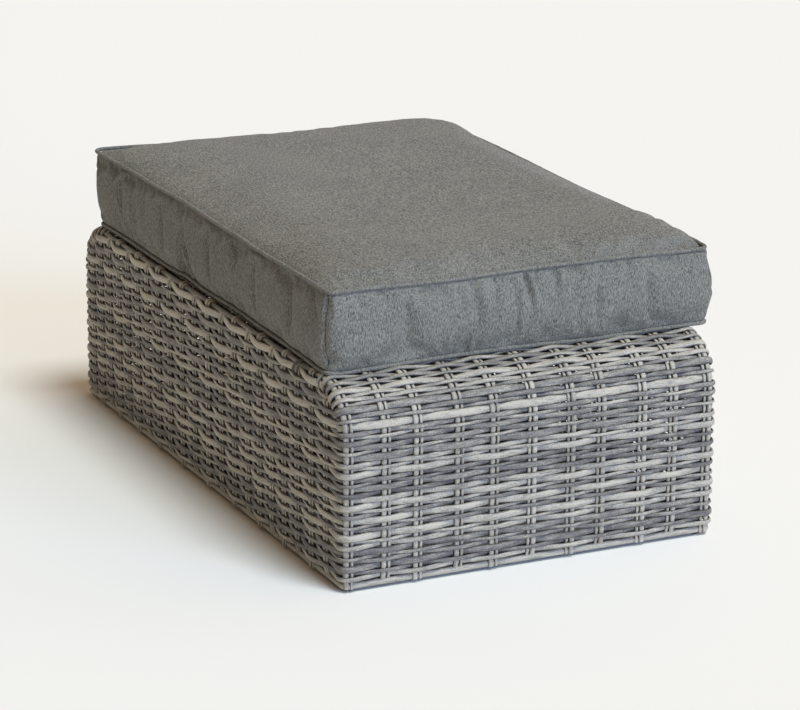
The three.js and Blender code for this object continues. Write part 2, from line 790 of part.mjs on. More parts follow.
// Pull: a flat tab whose end bar sits under the bridge and whose window clears the bridge as it swings
function zipPull() {
  const windowHalf = bridgeWidth / 2 + pullSideClear;
  const half = windowHalf + pullRail;
  const tab = new THREE.Shape();
  tab.moveTo(-pullBar / 2, -half);
  tab.lineTo(pullLength, -half);
  tab.lineTo(pullLength, half);
  tab.lineTo(-pullBar / 2, half);
  tab.closePath();
  const slot = new THREE.Path();
  slot.moveTo(pullBar / 2, -windowHalf);
  slot.lineTo(pullBar / 2, windowHalf);
  slot.lineTo(pullReach, windowHalf);
  slot.lineTo(pullReach, -windowHalf);
  slot.closePath();
  tab.holes.push(slot);
  const geometry = new THREE.ExtrudeGeometry(tab, { depth: pullThickness, bevelEnabled: false });
  return geometry.translate(0, 0, -pullThickness / 2).rotateX(Math.PI / 2);
}

function cushion() {
  const group = new THREE.Group();
  group.position.set(cushionShiftX, cushionShiftY, 0);
  group.add(named('foam_core', foamCore(), 'foam'));
  group.add(named('cover_top', topPanel(), 'fabric'));
  group.add(named('cover_bottom', bottomPanel(), 'fabric'));
  group.add(named('boxing_front', boxingStrip(widthShares.map((a) => [a, -1])), 'fabric'));
  group.add(named('boxing_back', boxingStrip(widthShares.map((a) => [a, 1])), 'fabric'));
  group.add(named('boxing_left', boxingStrip(lengthShares.map((b) => [-1, b])), 'fabric'));
  group.add(named('boxing_right', boxingStrip(lengthShares.map((b) => [1, b])), 'fabric'));
  group.add(named('piping_top', pipingLoop(topSeam), 'fabric'));
  group.add(named('piping_bottom', pipingLoop(bottomSeam), 'fabric'));
  const seatY = zipSeatY();
  const sliderX = zipLength / 2 - sliderLength / 2;
  group.add(named('zip_chain', zipChain(), 'zip', 0, seatY, zipZ));
  group.add(named('zip_slider', zipSlider(), 'zipMetal', sliderX, seatY, zipZ));
  group.add(named('zip_pull', zipPull(), 'zipMetal', sliderX, seatY + pullAxisY, zipZ));
  return group;
}

// The cushion overhangs one long side, so the whole is moved until its overall box is centred
const footstool = new THREE.Group();
footstool.add(frame(), wicker(), cushion());
const middle = new THREE.Box3().setFromObject(footstool, true).getCenter(new THREE.Vector3());
footstool.position.set(-middle.x, -middle.y, 0);

export default footstool;
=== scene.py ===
# %% [markdown]
# # An outdoor wicker footstool
# The bench is a tube frame dressed in woven resin cane, and a loose box cushion lies on it. The frame comes
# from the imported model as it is. The weave, the bindings and the cushion are made here, because they are
# made of hundreds of strands and of cloth, which plain solids can only hint at.

import math

import bpy
import numpy as np
from mathutils import Matrix, Vector
from mathutils.bvhtree import BVHTree


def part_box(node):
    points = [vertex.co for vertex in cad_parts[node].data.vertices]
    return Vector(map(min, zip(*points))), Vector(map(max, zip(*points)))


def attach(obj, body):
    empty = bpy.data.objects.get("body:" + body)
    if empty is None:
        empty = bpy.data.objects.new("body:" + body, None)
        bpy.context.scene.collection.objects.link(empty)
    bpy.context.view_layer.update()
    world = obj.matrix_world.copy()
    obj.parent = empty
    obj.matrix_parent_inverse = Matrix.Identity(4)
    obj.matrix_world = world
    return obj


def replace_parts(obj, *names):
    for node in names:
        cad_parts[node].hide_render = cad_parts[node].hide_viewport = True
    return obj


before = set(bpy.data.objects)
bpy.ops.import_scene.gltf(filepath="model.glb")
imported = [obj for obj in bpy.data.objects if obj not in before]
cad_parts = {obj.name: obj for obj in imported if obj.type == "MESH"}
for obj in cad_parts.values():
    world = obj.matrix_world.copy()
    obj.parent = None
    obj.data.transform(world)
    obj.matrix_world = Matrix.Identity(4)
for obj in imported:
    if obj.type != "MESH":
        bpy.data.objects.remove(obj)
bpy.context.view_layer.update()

# %% [markdown]
# ## Small helpers
# Both kinds of node tree in this scene, those for shapes and those for materials, are lists of small steps.
# A few helpers keep each step to one line: they add a node and feed its sockets, do a sum, read a named
# attribute, join three numbers, stretch a range, make noise or blend two colours.

# %% Helpers
def put_in_scene(name, data):
    """An object with this mesh, lamp or camera, linked to the scene."""
    made = bpy.data.objects.new(name, data)
    bpy.context.scene.collection.objects.link(made)
    return made


def feed(tree, socket, value):
    if isinstance(value, bpy.types.NodeSocket):
        tree.links.new(value, socket)
    else:
        socket.default_value = value


def step(tree, kind, inputs=None, **settings):
    made = tree.nodes.new(kind)
    for key, value in settings.items():
        setattr(made, key, value)
    for key, value in (inputs or {}).items():
        feed(tree, made.inputs[key], value)
    return made


def result_of(tree, kind, inputs=None, **settings):
    return step(tree, kind, inputs, **settings).outputs[0]


def calc(tree, operation, *values):
    return result_of(tree, "ShaderNodeMath", dict(enumerate(values)), operation=operation)


def vector_calc(tree, operation, first, second):
    return result_of(tree, "ShaderNodeVectorMath", {0: first, 1: second}, operation=operation)


def attribute(tree, name):
    return result_of(tree, "GeometryNodeInputNamedAttribute", {"Name": name}, data_type="FLOAT")


def vector(tree, x, y, z):
    return result_of(tree, "ShaderNodeCombineXYZ", {"X": x, "Y": y, "Z": z})


def remap(tree, value, low, high, to_low=0.0, to_high=1.0):
    ends = {"Value": value, "From Min": low, "From Max": high, "To Min": to_low, "To Max": to_high}
    return result_of(tree, "ShaderNodeMapRange", ends)


def noise(tree, where, scale, detail, roughness=0.5):
    settings = {"Vector": where, "Scale": scale, "Detail": detail, "Roughness": roughness}
    return result_of(tree, "ShaderNodeTexNoise", settings)


def blend(tree, share, first, second):
    """A mix of two colours, with this share of the second."""
    return step(tree, "ShaderNodeMix", {0: share, 6: first, 7: second}, data_type="RGBA").outputs[2]


def capture(tree, geometry, label, value):
    """Keeps a value on the geometry. Gives both as outputs, the value under its label."""
    made = step(tree, "GeometryNodeCaptureAttribute", {"Geometry": geometry})
    made.capture_items.new("FLOAT", label)
    feed(tree, made.inputs[label], value)
    return made.outputs


def store(tree, mesh, name, value, data_type, domain):
    inputs = {"Geometry": mesh, "Name": name, "Value": value}
    return result_of(tree, "GeometryNodeStoreNamedAttribute", inputs, data_type=data_type, domain=domain)


def new_tree(name, kind, inputs, outputs):
    tree = bpy.data.node_groups.new(name, kind)
    for direction, sockets in (("INPUT", inputs), ("OUTPUT", outputs)):
        for label, (socket_type, default) in sockets.items():
            made = tree.interface.new_socket(label, in_out=direction, socket_type="NodeSocket" + socket_type)
            if default is not None:
                made.default_value = default
    start, end = tree.nodes.new("NodeGroupInput"), tree.nodes.new("NodeGroupOutput")
    return tree, start.outputs, end.inputs


def end_in_faces(tree, result, shape, material):
    """The last steps of a tree: smooth, real faces with a material on them."""
    smooth = result_of(tree, "GeometryNodeSetShadeSmooth", {"Geometry": shape})
    real = result_of(tree, "GeometryNodeRealizeInstances", {"Geometry": smooth})
    painted = result_of(tree, "GeometryNodeSetMaterial", {"Geometry": real, "Material": material})
    feed(tree, result["Mesh"], painted)


# %% [markdown]
# ## Camera
# The photograph was matched with a long lens: parallel edges meet only far away. The camera stands about
# five metres off, to the left of the short end, and looks down a little. Its three axes are worked out from
# its bearing, its height angle and a slight tilt, and set as one matrix, so that nothing is left to aim.

# %% Camera
BEARING, HEIGHT_ANGLE, TILT = math.radians(-25.58), math.radians(17.056), math.radians(0.353)
CAMERA_PLACE = Vector((-2.13696, -4.51320, 1.70324))
LENS_MM, SENSOR_MM = 151.45, 36
NEAREST, FARTHEST = 0.1, 50

back = Vector((
    math.sin(BEARING) * math.cos(HEIGHT_ANGLE),
    -math.cos(BEARING) * math.cos(HEIGHT_ANGLE),
    math.sin(HEIGHT_ANGLE),
))
level = Vector((math.cos(BEARING), math.sin(BEARING), 0))
upright = back.cross(level)
right = level * math.cos(TILT) + upright * math.sin(TILT)
camera_data = bpy.data.cameras.new("camera")
camera_data.lens, camera_data.sensor_width = LENS_MM, SENSOR_MM
camera_data.clip_start, camera_data.clip_end = NEAREST, FARTHEST
camera = put_in_scene("camera", camera_data)
axes = Matrix((right, back.cross(right), back)).transposed().to_4x4()
camera.matrix_world = Matrix.Translation(CAMERA_PLACE) @ axes
bpy.context.scene.camera = camera
print("camera", tuple(round(v, 3) for v in camera.location))

# %% [markdown]
# ## How a woven wall is made
# On the real footstool, pairs of upright canes, the stakes, are tied to the frame, and each row of strand
# goes over one pair and behind the next. Its neighbour does the opposite. Both are the same thing turned a
# quarter: a cane that runs along a list of crossings and is in front of every second one. So one tree makes
# both. It gives each cane a point at every crossing and one halfway between, lifts or sinks it there, rounds
# the path, and draws an oval along it that is narrower at the crossings, where the canes press on each other.

# %% Tree: canes that go over and under a list of crossings
MESH_OUT = {"Mesh": ("Geometry", None)}
CANE_SOCKETS = {
    "Canes": ("Geometry", None),
    "Crossings": ("Object", None),
    "Rise": ("Float", 0.003),
    "Narrowing": ("Float", 0.7),
    "Pinch": ("Float", 0.0),
    "Thickness Share": ("Float", 0.42),
    "Wander": ("Float", 0.0005),
    "Steps": ("Int", 4),
    "Sides": ("Int", 8),
}
TUCK_RUN = 0.014


def place_of_crossing(tree, crossings, index):
    sample = step(tree, "GeometryNodeSampleIndex", data_type="FLOAT", domain="POINT", clamp=True)
    feed(tree, sample.inputs["Geometry"], crossings)
    feed(tree, sample.inputs["Value"], attribute(tree, "place"))
    feed(tree, sample.inputs["Index"], index)
    return sample.outputs[0]


def over_and_under():
    tree, given, result = new_tree("Over and under", "GeometryNodeTree", CANE_SOCKETS, MESH_OUT)
    crossings = step(tree, "GeometryNodeObjectInfo", {"Object": given["Crossings"]}).outputs["Geometry"]
    size = step(tree, "GeometryNodeAttributeDomainSize", {"Geometry": crossings}, component="MESH")
    count = calc(tree, "SUBTRACT", calc(tree, "MULTIPLY", size.outputs["Point Count"], 2.0), 1.0)
    line = result_of(tree, "GeometryNodeMeshLine", {"Count": count})
    line = result_of(tree, "GeometryNodeMeshToCurve", {"Mesh": line})
    placed = result_of(tree, "GeometryNodeInstanceOnPoints", {"Points": given["Canes"], "Instance": line})
    canes = result_of(tree, "GeometryNodeRealizeInstances", {"Geometry": placed})

    number = step(tree, "GeometryNodeSplineParameter").outputs["Index"]
    crossing = calc(tree, "FLOOR", calc(tree, "MULTIPLY", number, 0.5))
    halfway = calc(tree, "MODULO", number, 2.0)
    here = place_of_crossing(tree, crossings, crossing)
    there = place_of_crossing(tree, crossings, calc(tree, "ADD", crossing, 1.0))
    half_way_on = calc(tree, "MULTIPLY", halfway, 0.5)
    along = calc(tree, "MULTIPLY_ADD", calc(tree, "SUBTRACT", there, here), half_way_on, here)
    on_top = calc(tree, "MODULO", calc(tree, "ADD", crossing, attribute(tree, "phase")), 2.0)
    at_crossing = calc(tree, "SUBTRACT", 1.0, halfway)
    swing = calc(tree, "MULTIPLY", calc(tree, "MULTIPLY_ADD", on_top, 2.0, -1.0), at_crossing)
    lift = calc(tree, "MULTIPLY", swing, given["Rise"])
    spot = vector(tree, along, attribute(tree, "place"), lift)
    path = result_of(tree, "GeometryNodeSetPosition", {"Geometry": canes, "Position": spot})

    pressed = calc(tree, "POWER", calc(tree, "MULTIPLY_ADD", swing, -0.5, 0.5), 1.7)
    narrowing = calc(tree, "SUBTRACT", 1.0, given["Narrowing"])
    share = calc(tree, "SUBTRACT", 1.0, calc(tree, "MULTIPLY", pressed, narrowing))
    over = calc(tree, "MAXIMUM", swing, 0.0)
    share = calc(tree, "SUBTRACT", share, calc(tree, "MULTIPLY", over, given["Pinch"]))
    radius = calc(tree, "MULTIPLY", share, attribute(tree, "width"))
    path = result_of(tree, "GeometryNodeSetCurveRadius", {"Curve": path, "Radius": radius})
    path = result_of(tree, "GeometryNodeCurveSplineType", {"Curve": path}, spline_type="CATMULL_ROM")
    rounding = {"Geometry": path, "Resolution": given["Steps"]}
    path = result_of(tree, "GeometryNodeSetSplineResolution", rounding)
    path = result_of(tree, "GeometryNodeResampleCurve", {"Curve": path}, mode="EVALUATED")

    length = step(tree, "GeometryNodeSplineLength").outputs["Length"]
    start_length, end_length = 4, 5
    path = result_of(
        tree, "GeometryNodeTrimCurve",
        {
            "Curve": path,
            start_length: attribute(tree, "trim"),
            end_length: calc(tree, "SUBTRACT", length, attribute(tree, "trim_end")),
        },
        mode="LENGTH",
    )

    measure = step(tree, "GeometryNodeSplineParameter").outputs["Length"]
    tucks = []
    for gone, depth in ((measure, "tuck"), (calc(tree, "SUBTRACT", length, measure), "tuck_end")):
        share = calc(tree, "SUBTRACT", 1.0, calc(tree, "DIVIDE", gone, TUCK_RUN))
        tucks.append(calc(tree, "MULTIPLY", calc(tree, "MAXIMUM", share, 0.0), attribute(tree, depth)))
    tuck = calc(tree, "ADD", *tucks)
    spot = result_of(tree, "GeometryNodeInputPosition")
    shifted = vector_calc(tree, "MULTIPLY", spot, vector(tree, 17.0, 900.0, 0.0))
    settings = {"Vector": shifted, "Scale": 1.0, "Detail": 1.0}
    cloud = step(tree, "ShaderNodeTexNoise", settings).outputs["Color"]
    wave = vector_calc(tree, "SUBTRACT", cloud, (0.5, 0.5, 0.5))
    parts = step(tree, "ShaderNodeSeparateXYZ", {0: wave}).outputs
    wander = calc(tree, "MULTIPLY", given["Wander"], 4.0)
    sideways = calc(tree, "MULTIPLY", parts["X"], wander)
    outwards = calc(tree, "MULTIPLY", parts["Y"], calc(tree, "MULTIPLY", wander, 0.5))
    drift = vector(tree, 0.0, sideways, calc(tree, "SUBTRACT", outwards, tuck))
    path = result_of(tree, "GeometryNodeSetPosition", {"Geometry": path, "Offset": drift})

    kept_along = capture(tree, path, "Along", measure)
    round_section = {"Resolution": given["Sides"], "Radius": 0.5}
    oval = result_of(tree, "GeometryNodeCurvePrimitiveCircle", round_section)
    flatness = vector(tree, 1.0, given["Thickness Share"], 1.0)
    oval = result_of(tree, "GeometryNodeTransform", {"Geometry": oval, "Scale": flatness})
    kept_across = capture(tree, oval, "Across", step(tree, "ShaderNodeSeparateXYZ", {0: spot}).outputs["X"])
    path = result_of(tree, "GeometryNodeSetCurveNormal", {"Curve": kept_along["Geometry"]}, mode="Z_UP")
    swept = result_of(
        tree, "GeometryNodeCurveToMesh",
        {
            "Curve": path,
            "Profile Curve": kept_across["Geometry"],
            "Scale": result_of(tree, "GeometryNodeInputRadius"),
            "Fill Caps": True,
        },
    )
    across = calc(tree, "MULTIPLY", kept_across["Across"], attribute(tree, "width"))
    grain = vector(tree, kept_along["Along"], across, 0.0)
    feed(tree, result["Mesh"], store(tree, swept, "CaneUV", grain, "FLOAT2", "CORNER"))
    return tree


OVER_AND_UNDER = over_and_under()
print("tree", OVER_AND_UNDER.name, "with", len(OVER_AND_UNDER.nodes), "nodes")

# %% [markdown]
# ## Bending flat weave round the body
# It is easiest to weave flat, where X runs along the wall, Y up it and Z out of it. A second tree then
# bends that flat work as the real one is bent: round the upright corners, and at the short ends over the
# big roll into the top. The same few sums serve every wall, because a long side is only an end whose roll
# starts far above its top.

# %% Tree: lay flat weave on a wall
WALL_SOCKETS = {
    "Half Width": ("Float", 0.296),
    "Half Depth": ("Float", 0.506),
    "Corner Radius": ("Float", 0.014),
    "Roll Radius": ("Float", 0.075),
    "Spring Height": ("Float", 0.223),
}
QUARTER = math.pi / 2


def lay_on_wall():
    inputs = {"Mesh": ("Geometry", None), **WALL_SOCKETS}
    tree, given, result = new_tree("Lay on a wall", "GeometryNodeTree", inputs, MESH_OUT)
    flat = step(tree, "ShaderNodeSeparateXYZ", {0: result_of(tree, "GeometryNodeInputPosition")}).outputs
    corner = given["Corner Radius"]
    run = calc(tree, "ABSOLUTE", flat["X"])
    straight = calc(tree, "SUBTRACT", given["Half Width"], corner)
    beyond = calc(tree, "MAXIMUM", calc(tree, "SUBTRACT", run, straight), 0.0)
    turn = calc(tree, "MINIMUM", calc(tree, "DIVIDE", beyond, corner), QUARTER)
    past = calc(tree, "SUBTRACT", beyond, calc(tree, "MULTIPLY", corner, QUARTER))
    past = calc(tree, "MAXIMUM", past, 0.0)
    swing = calc(tree, "ADD", corner, flat["Z"])
    reach = calc(tree, "MULTIPLY_ADD", swing, calc(tree, "SINE", turn), calc(tree, "MINIMUM", run, straight))
    out = calc(tree, "SUBTRACT", calc(tree, "MULTIPLY", swing, calc(tree, "COSINE", turn)), corner)
    out = calc(tree, "SUBTRACT", out, past)
    side = calc(tree, "MULTIPLY", reach, calc(tree, "SIGN", flat["X"]))

    roll, spring = given["Roll Radius"], given["Spring Height"]
    climb = calc(tree, "MAXIMUM", calc(tree, "SUBTRACT", flat["Y"], spring), 0.0)
    angle = calc(tree, "MINIMUM", calc(tree, "DIVIDE", climb, roll), QUARTER)
    over = calc(tree, "SUBTRACT", climb, calc(tree, "MULTIPLY", roll, QUARTER))
    over = calc(tree, "MAXIMUM", over, 0.0)
    centre = calc(tree, "SUBTRACT", calc(tree, "SUBTRACT", given["Half Depth"], roll), over)
    sweep = calc(tree, "ADD", roll, out)
    depth = calc(tree, "MULTIPLY_ADD", sweep, calc(tree, "COSINE", angle), centre)
    foot = calc(tree, "MINIMUM", flat["Y"], spring)
    height = calc(tree, "MULTIPLY_ADD", sweep, calc(tree, "SINE", angle), foot)
    place = vector(tree, side, calc(tree, "MULTIPLY", depth, -1.0), height)
    moved = result_of(tree, "GeometryNodeSetPosition", {"Geometry": given["Mesh"], "Position": place})
    feed(tree, result["Mesh"], moved)
    return tree


LAY_ON_WALL = lay_on_wall()
print("tree", LAY_ON_WALL.name, "with", len(LAY_ON_WALL.nodes), "nodes")

# %% [markdown]
# ## The whole wall
# A third tree joins the two: it weaves, turns the work a quarter where the canes are stakes, lays it on its
# wall and turns the wall to its side of the bench. It ends in real faces with a material on them, and its
# result becomes a plain mesh.

# %% Tree: woven wall
def woven_wall():
    inputs = {
        **CANE_SOCKETS,
        "Quarter Turn": ("Float", 0.0),
        **WALL_SOCKETS,
        "Facing": ("Float", 0.0),
        "Centre": ("Vector", None),
        "Material": ("Material", None),
    }
    tree, given, result = new_tree("Woven wall", "GeometryNodeTree", inputs, MESH_OUT)
    canes = {label: given[label] for label in CANE_SOCKETS}
    woven = result_of(tree, "GeometryNodeGroup", canes, node_tree=OVER_AND_UNDER)
    turn = vector(tree, 0.0, 0.0, given["Quarter Turn"])
    turned = result_of(tree, "GeometryNodeTransform", {"Geometry": woven, "Rotation": turn})
    bends = {label: given[label] for label in WALL_SOCKETS}
    laid = result_of(tree, "GeometryNodeGroup", {"Mesh": turned, **bends}, node_tree=LAY_ON_WALL)
    facing = vector(tree, 0.0, 0.0, given["Facing"])
    stood = result_of(
        tree, "GeometryNodeTransform", {"Geometry": laid, "Translation": given["Centre"], "Rotation": facing},
    )
    end_in_faces(tree, result, stood, given["Material"])
    return tree


WOVEN_WALL = woven_wall()


def points_object(name, **columns):
    """Loose points that carry numbers. A tree reads them by their names."""
    mesh = bpy.data.meshes.new(name)
    count = len(next(iter(columns.values())))
    mesh.from_pydata([(0, 0, 0)] * count, [], [])
    for label, values in columns.items():
        mesh.attributes.new(label, "FLOAT", "POINT").data.foreach_set("value", np.asarray(values, np.float32))
    return put_in_scene(name, mesh)


def grow(source, tree, name, body, **values):
    """Runs a tree on an object and leaves its result as a plain mesh that rides on a body."""
    modifier = source.modifiers.new("shape", "NODES")
    modifier.node_group = tree
    sockets = {item.name: item.identifier for item in tree.interface.items_tree if item.in_out == "INPUT"}
    for label, value in values.items():
        modifier[sockets[label.replace("_", " ")]] = value
    depsgraph = bpy.context.evaluated_depsgraph_get()
    mesh = bpy.data.meshes.new_from_object(
        source.evaluated_get(depsgraph), preserve_all_data_layers=True, depsgraph=depsgraph,
    )
    mesh.name = name
    bpy.data.objects.remove(source)
    made = put_in_scene(name, mesh)
    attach(made, body)
    triangles = sum(len(face.vertices) - 2 for face in mesh.polygons)
    print(name, triangles, "triangles")
    return made


# %% [markdown]
# ## Resin cane
# The strands are extruded plastic made to look like weathered willow: a streaked grain runs along them, each
# strand has its own grey, from a cool dark one to a warm light one, and fine pale and dark flecks lie over
# it. Each strand is also darkened towards its edges, as painted shade where the strands press together. One
# group makes the grain from the strand's own UV map, whose U runs along the strand in metres and V across it,
# so that the streaks follow every bend. The materials only choose the greys.

# %% Shader group: cane grain
def cane_grain():
    inputs = {
        "Dark": ("Color", (0.1, 0.1, 0.12, 1)),
        "Middle": ("Color", (0.25, 0.25, 0.25, 1)),
        "Light": ("Color", (0.45, 0.43, 0.4, 1)),
        "Streaks": ("Float", 1.3),
        "Patches": ("Float", 1.2),
        "Flecks": ("Float", 1.5),
        "Painted Edge Shade": ("Float", 0.45),
    }
    outputs = {"Color": ("Color", None), "Height": ("Float", None), "Roughness": ("Float", None)}
    tree, given, result = new_tree("Cane grain", "ShaderNodeTree", inputs, outputs)
    uv = result_of(tree, "ShaderNodeUVMap", uv_map="CaneUV")
    spot = step(tree, "ShaderNodeTexCoord").outputs["Object"]
    tone = step(tree, "ShaderNodeAttribute", attribute_name="tone").outputs["Fac"]
    width = step(tree, "ShaderNodeAttribute", attribute_name="width").outputs["Fac"]
    own = vector(tree, 0.0, 0.0, calc(tree, "MULTIPLY", tone, 91.0))

    def noise_along(stretch, roughness):
        drawn = result_of(tree, "ShaderNodeMapping", {"Vector": uv, "Scale": stretch})
        return noise(tree, vector_calc(tree, "ADD", drawn, own), 1.0, 3.0, roughness)

    streak = noise_along((75.0, 850.0, 1.0), 0.65)
    patch = noise_along((20.0, 90.0, 1.0), 0.6)
    fleck = noise(tree, spot, 620.0, 3.0, 0.75)
    shade = tone
    for part, amount in ((streak, given["Streaks"]), (patch, given["Patches"]), (fleck, given["Flecks"])):
        shade = calc(tree, "MULTIPLY_ADD", calc(tree, "SUBTRACT", part, 0.5), amount, shade)
    across = step(tree, "ShaderNodeSeparateXYZ", {0: uv}).outputs["Y"]
    # Painted shade: each strand is darkened towards its edges, where it presses against its neighbours.
    edge = remap(tree, calc(tree, "DIVIDE", calc(tree, "ABSOLUTE", across), width), 0.32, 0.5)
    shade = calc(tree, "MULTIPLY_ADD", edge, calc(tree, "MULTIPLY", given["Painted Edge Shade"], -1.0), shade)
    lower = blend(tree, remap(tree, shade, 0.1, 0.5), given["Dark"], given["Middle"])
    height = calc(tree, "MULTIPLY_ADD", fleck, 0.35, calc(tree, "MULTIPLY", streak, 0.65))
    feed(tree, result["Color"], blend(tree, remap(tree, shade, 0.5, 0.9), lower, given["Light"]))
    feed(tree, result["Height"], height)
    feed(tree, result["Roughness"], remap(tree, streak, 0.3, 0.7, 0.5, 0.72))
    return tree


CANE_GRAIN = cane_grain()


def finish_material(name):
    made = bpy.data.materials.new(name)
    made.use_nodes = True
    tree = made.node_tree
    tree.nodes.clear()
    shader = tree.nodes.new("ShaderNodeBsdfPrincipled")
    output = tree.nodes.new("ShaderNodeOutputMaterial")
    tree.links.new(shader.outputs[0], output.inputs["Surface"])
    return made, tree, shader


def material_from(group, name, relief, constants, **amounts):
    """A material with colour, bump and, where the group has one, roughness from a shader group. Relief is
    the bump's strength and depth, and the constants go on the shader's own sockets."""
    made, tree, shader = finish_material(name)
    source = step(tree, "ShaderNodeGroup", node_tree=group)
    for label, value in amounts.items():
        socket = source.inputs[label.replace("_", " ")]
        socket.default_value = (*value, 1) if isinstance(value, tuple) else value
    strength, depth = relief
    height = source.outputs["Height"]
    bump = result_of(tree, "ShaderNodeBump", {"Height": height, "Strength": strength, "Distance": depth})
    tree.links.new(source.outputs["Color"], shader.inputs["Base Color"])
    tree.links.new(bump, shader.inputs["Normal"])
    if "Roughness" in source.outputs:
        tree.links.new(source.outputs["Roughness"], shader.inputs["Roughness"])
    for label, value in constants.items():
        shader.inputs[label].default_value = value
    return made


def cane_material(name, dark, middle, light, **amounts):
    relief, constants = (0.35, 0.0004), {"Specular IOR Level": 0.35}
    return material_from(
        CANE_GRAIN, name, relief, constants, Dark=dark, Middle=middle, Light=light, **amounts,
    )


CANE = cane_material("resin cane", (0.093, 0.0815, 0.077), (0.234, 0.214, 0.184), (0.512, 0.460, 0.370))
STAKE = cane_material(
    "stake cane", (0.163, 0.146, 0.123), (0.327, 0.295, 0.245), (0.523, 0.470, 0.384), Patches=0.7,
)
BINDING = cane_material("binding cane", (0.058, 0.048, 0.038), (0.148, 0.127, 0.100), (0.315, 0.285, 0.240))
print("cane materials", CANE.name, STAKE.name, BINDING.name)

# %% [markdown]
# ## Counting the weave
# The stakes and rows were counted on the two faces that the photograph shows, and their uneven spacing is
# kept, because even spacing looks like a machine's. All four walls share the rows, since each strand runs
# round the corners. The strands come in three widths and several greys. Where they turn a corner they stand
# off the frame a little, so the woven outline is a few millimetres larger than the body's nominal size.

# %% Stakes and rows
SHIFT_RIGHT, SHIFT_BACK = 0.0035, 0.004
bench_low = Vector(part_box("left_weave")[0])
bench_high = Vector(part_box("right_weave")[1])
BENCH_CENTRE = Vector((
    (bench_low.x + bench_high.x) / 2 + SHIFT_RIGHT,
    (bench_low.y + bench_high.y) / 2 + SHIFT_BACK,
    0,
))
BODY_WIDTH, BODY_LENGTH = 0.607, 1.028
STRAND_RISE, CORNER, ROLL, SPRING = 0.005, 0.014, 0.075, 0.223
HALF_WIDTH, HALF_LENGTH = BODY_WIDTH / 2 - STRAND_RISE, BODY_LENGTH / 2 - STRAND_RISE

END_STAKES_MM = [14, 71.5, 121, 185.5, 241, 301.5, 364, 413, 480, 531, 587.5]
SIDE_STAKES_MM = [
    61, 111, 160, 207, 253, 297, 342, 392, 442, 494, 547, 598, 650, 697, 744, 786, 828, 869, 910, 948, 986,
]
END_STAKES = np.array(END_STAKES_MM) / 1000 - BODY_WIDTH / 2
SIDE_STAKES = BODY_LENGTH / 2 - np.array(SIDE_STAKES_MM)[::-1] / 1000

ROW_WIDTHS_MM = [
    7, 6, 10, 6.5, 5, 9.5, 8, 5, 11, 6, 5, 10, 6, 5, 10, 8.5, 7, 9, 4.5, 7, 10, 5, 7.5, 11, 5, 8, 8, 5, 7, 12,
    5, 7, 11, 5.5, 7, 6, 10, 5, 7, 9, 9, 8, 8,
]
ROW_TONES = [
    0.8, 0.3, 0.3, 0.45, 0.6, 0.35, 0.8, 0.7, 0.9, 0.3, 0.5, 0.9, 0.3, 0.75, 0.85, 0.75, 0.25, 0.4, 0.3, 0.3,
    0.85, 0.8, 0.8, 0.4, 0.65, 0.4, 0.35, 0.75, 0.45, 0.95, 0.5, 0.3, 0.45, 0.5, 0.8, 0.75, 0.85, 0.5, 0.5,
    0.4, 0.7, 0.5, 0.4,
]
FIRST_ROW, PACKING, SWELL, TONE_SPREAD = 0.0205, 1.035, 1.13, 0.8
LEAF = dict(height=0.2864, width=0.0128, tone=0.92)
LEAF_GAP = 0.002
RAIL_RADIUS, RAIL_BEND, RAIL_HEIGHT = 0.0042, 0.0060, 0.2942
CANE_COLUMNS = ("place", "width", "tone", "phase", "trim", "trim_end", "tuck", "tuck_end")


def row_places(first, widths):
    """Heights of rows that lie on each other, each half its own width above the edge of the one below."""
    return first + PACKING * np.concatenate([[0], np.cumsum((widths[1:] + widths[:-1]) / 2)])


row_widths = np.array(ROW_WIDTHS_MM) / 1000
row_tones = 0.5 + TONE_SPREAD * (np.array(ROW_TONES) - 0.5)
row_heights = row_places(FIRST_ROW, row_widths)
row_widths = row_widths * SWELL
row_phases = np.arange(len(row_heights)) % 2
side_rows = int(np.sum(row_heights < LEAF["height"] - LEAF["width"] / 2 - LEAF_GAP))
chance = np.random.default_rng(11)
print(len(row_heights), "rows on an end,", side_rows, "on a side")

# %% [markdown]
# ## The four walls
# A row is one strand, laid out flat with its crossings: the stakes of its wall, and one more past each
# corner, which is the first stake of the next wall. Every second row goes on round the corners to that
# stake. The others stop behind the outer stakes of their own wall, and rows beside a roll stop at its edge.

# %% Woven walls
to_front_stake, to_back_stake = HALF_LENGTH - SIDE_STAKES.max(), HALF_LENGTH + SIDE_STAKES.min()
to_low_stake, to_high_stake = HALF_WIDTH + END_STAKES.min(), HALF_WIDTH - END_STAKES.max()
SHORT_WALL = dict(own=END_STAKES, half=HALF_WIDTH, depth=HALF_LENGTH, long_phase=0, roll=ROLL, spring=SPRING)
LONG_WALL = dict(
    half=HALF_LENGTH, depth=HALF_WIDTH, ends=(to_high_stake, to_low_stake), long_phase=1,
    roll=RAIL_BEND, spring=RAIL_HEIGHT,
)
WALLS = {
    "front": dict(SHORT_WALL, facing=0.0, ends=(to_front_stake, to_front_stake)),
    "back": dict(SHORT_WALL, facing=math.pi, ends=(to_back_stake, to_back_stake)),
    "left": dict(LONG_WALL, facing=-QUARTER, own=SIDE_STAKES),
    "right": dict(LONG_WALL, facing=QUARTER, own=-SIDE_STAKES[::-1]),
}
ROLL_START, ROLL_LAP, ROLL_GAP, END_TUCK = SPRING - 0.002, 0.010, 0.001, 0.004


def round_corner(half, offset):
    """How far along a wall, from its middle, a point is that lies past its corner by an offset."""
    return half - CORNER + CORNER * QUARTER + (offset - CORNER)


def wall_crossings(wall):
    low, high = (round_corner(wall["half"], offset) for offset in wall["ends"])
    return np.concatenate([[-low], wall["own"], [high]])


def cane_points(name, rows):
    return points_object(name, **dict(zip(CANE_COLUMNS, np.array(rows).T)))


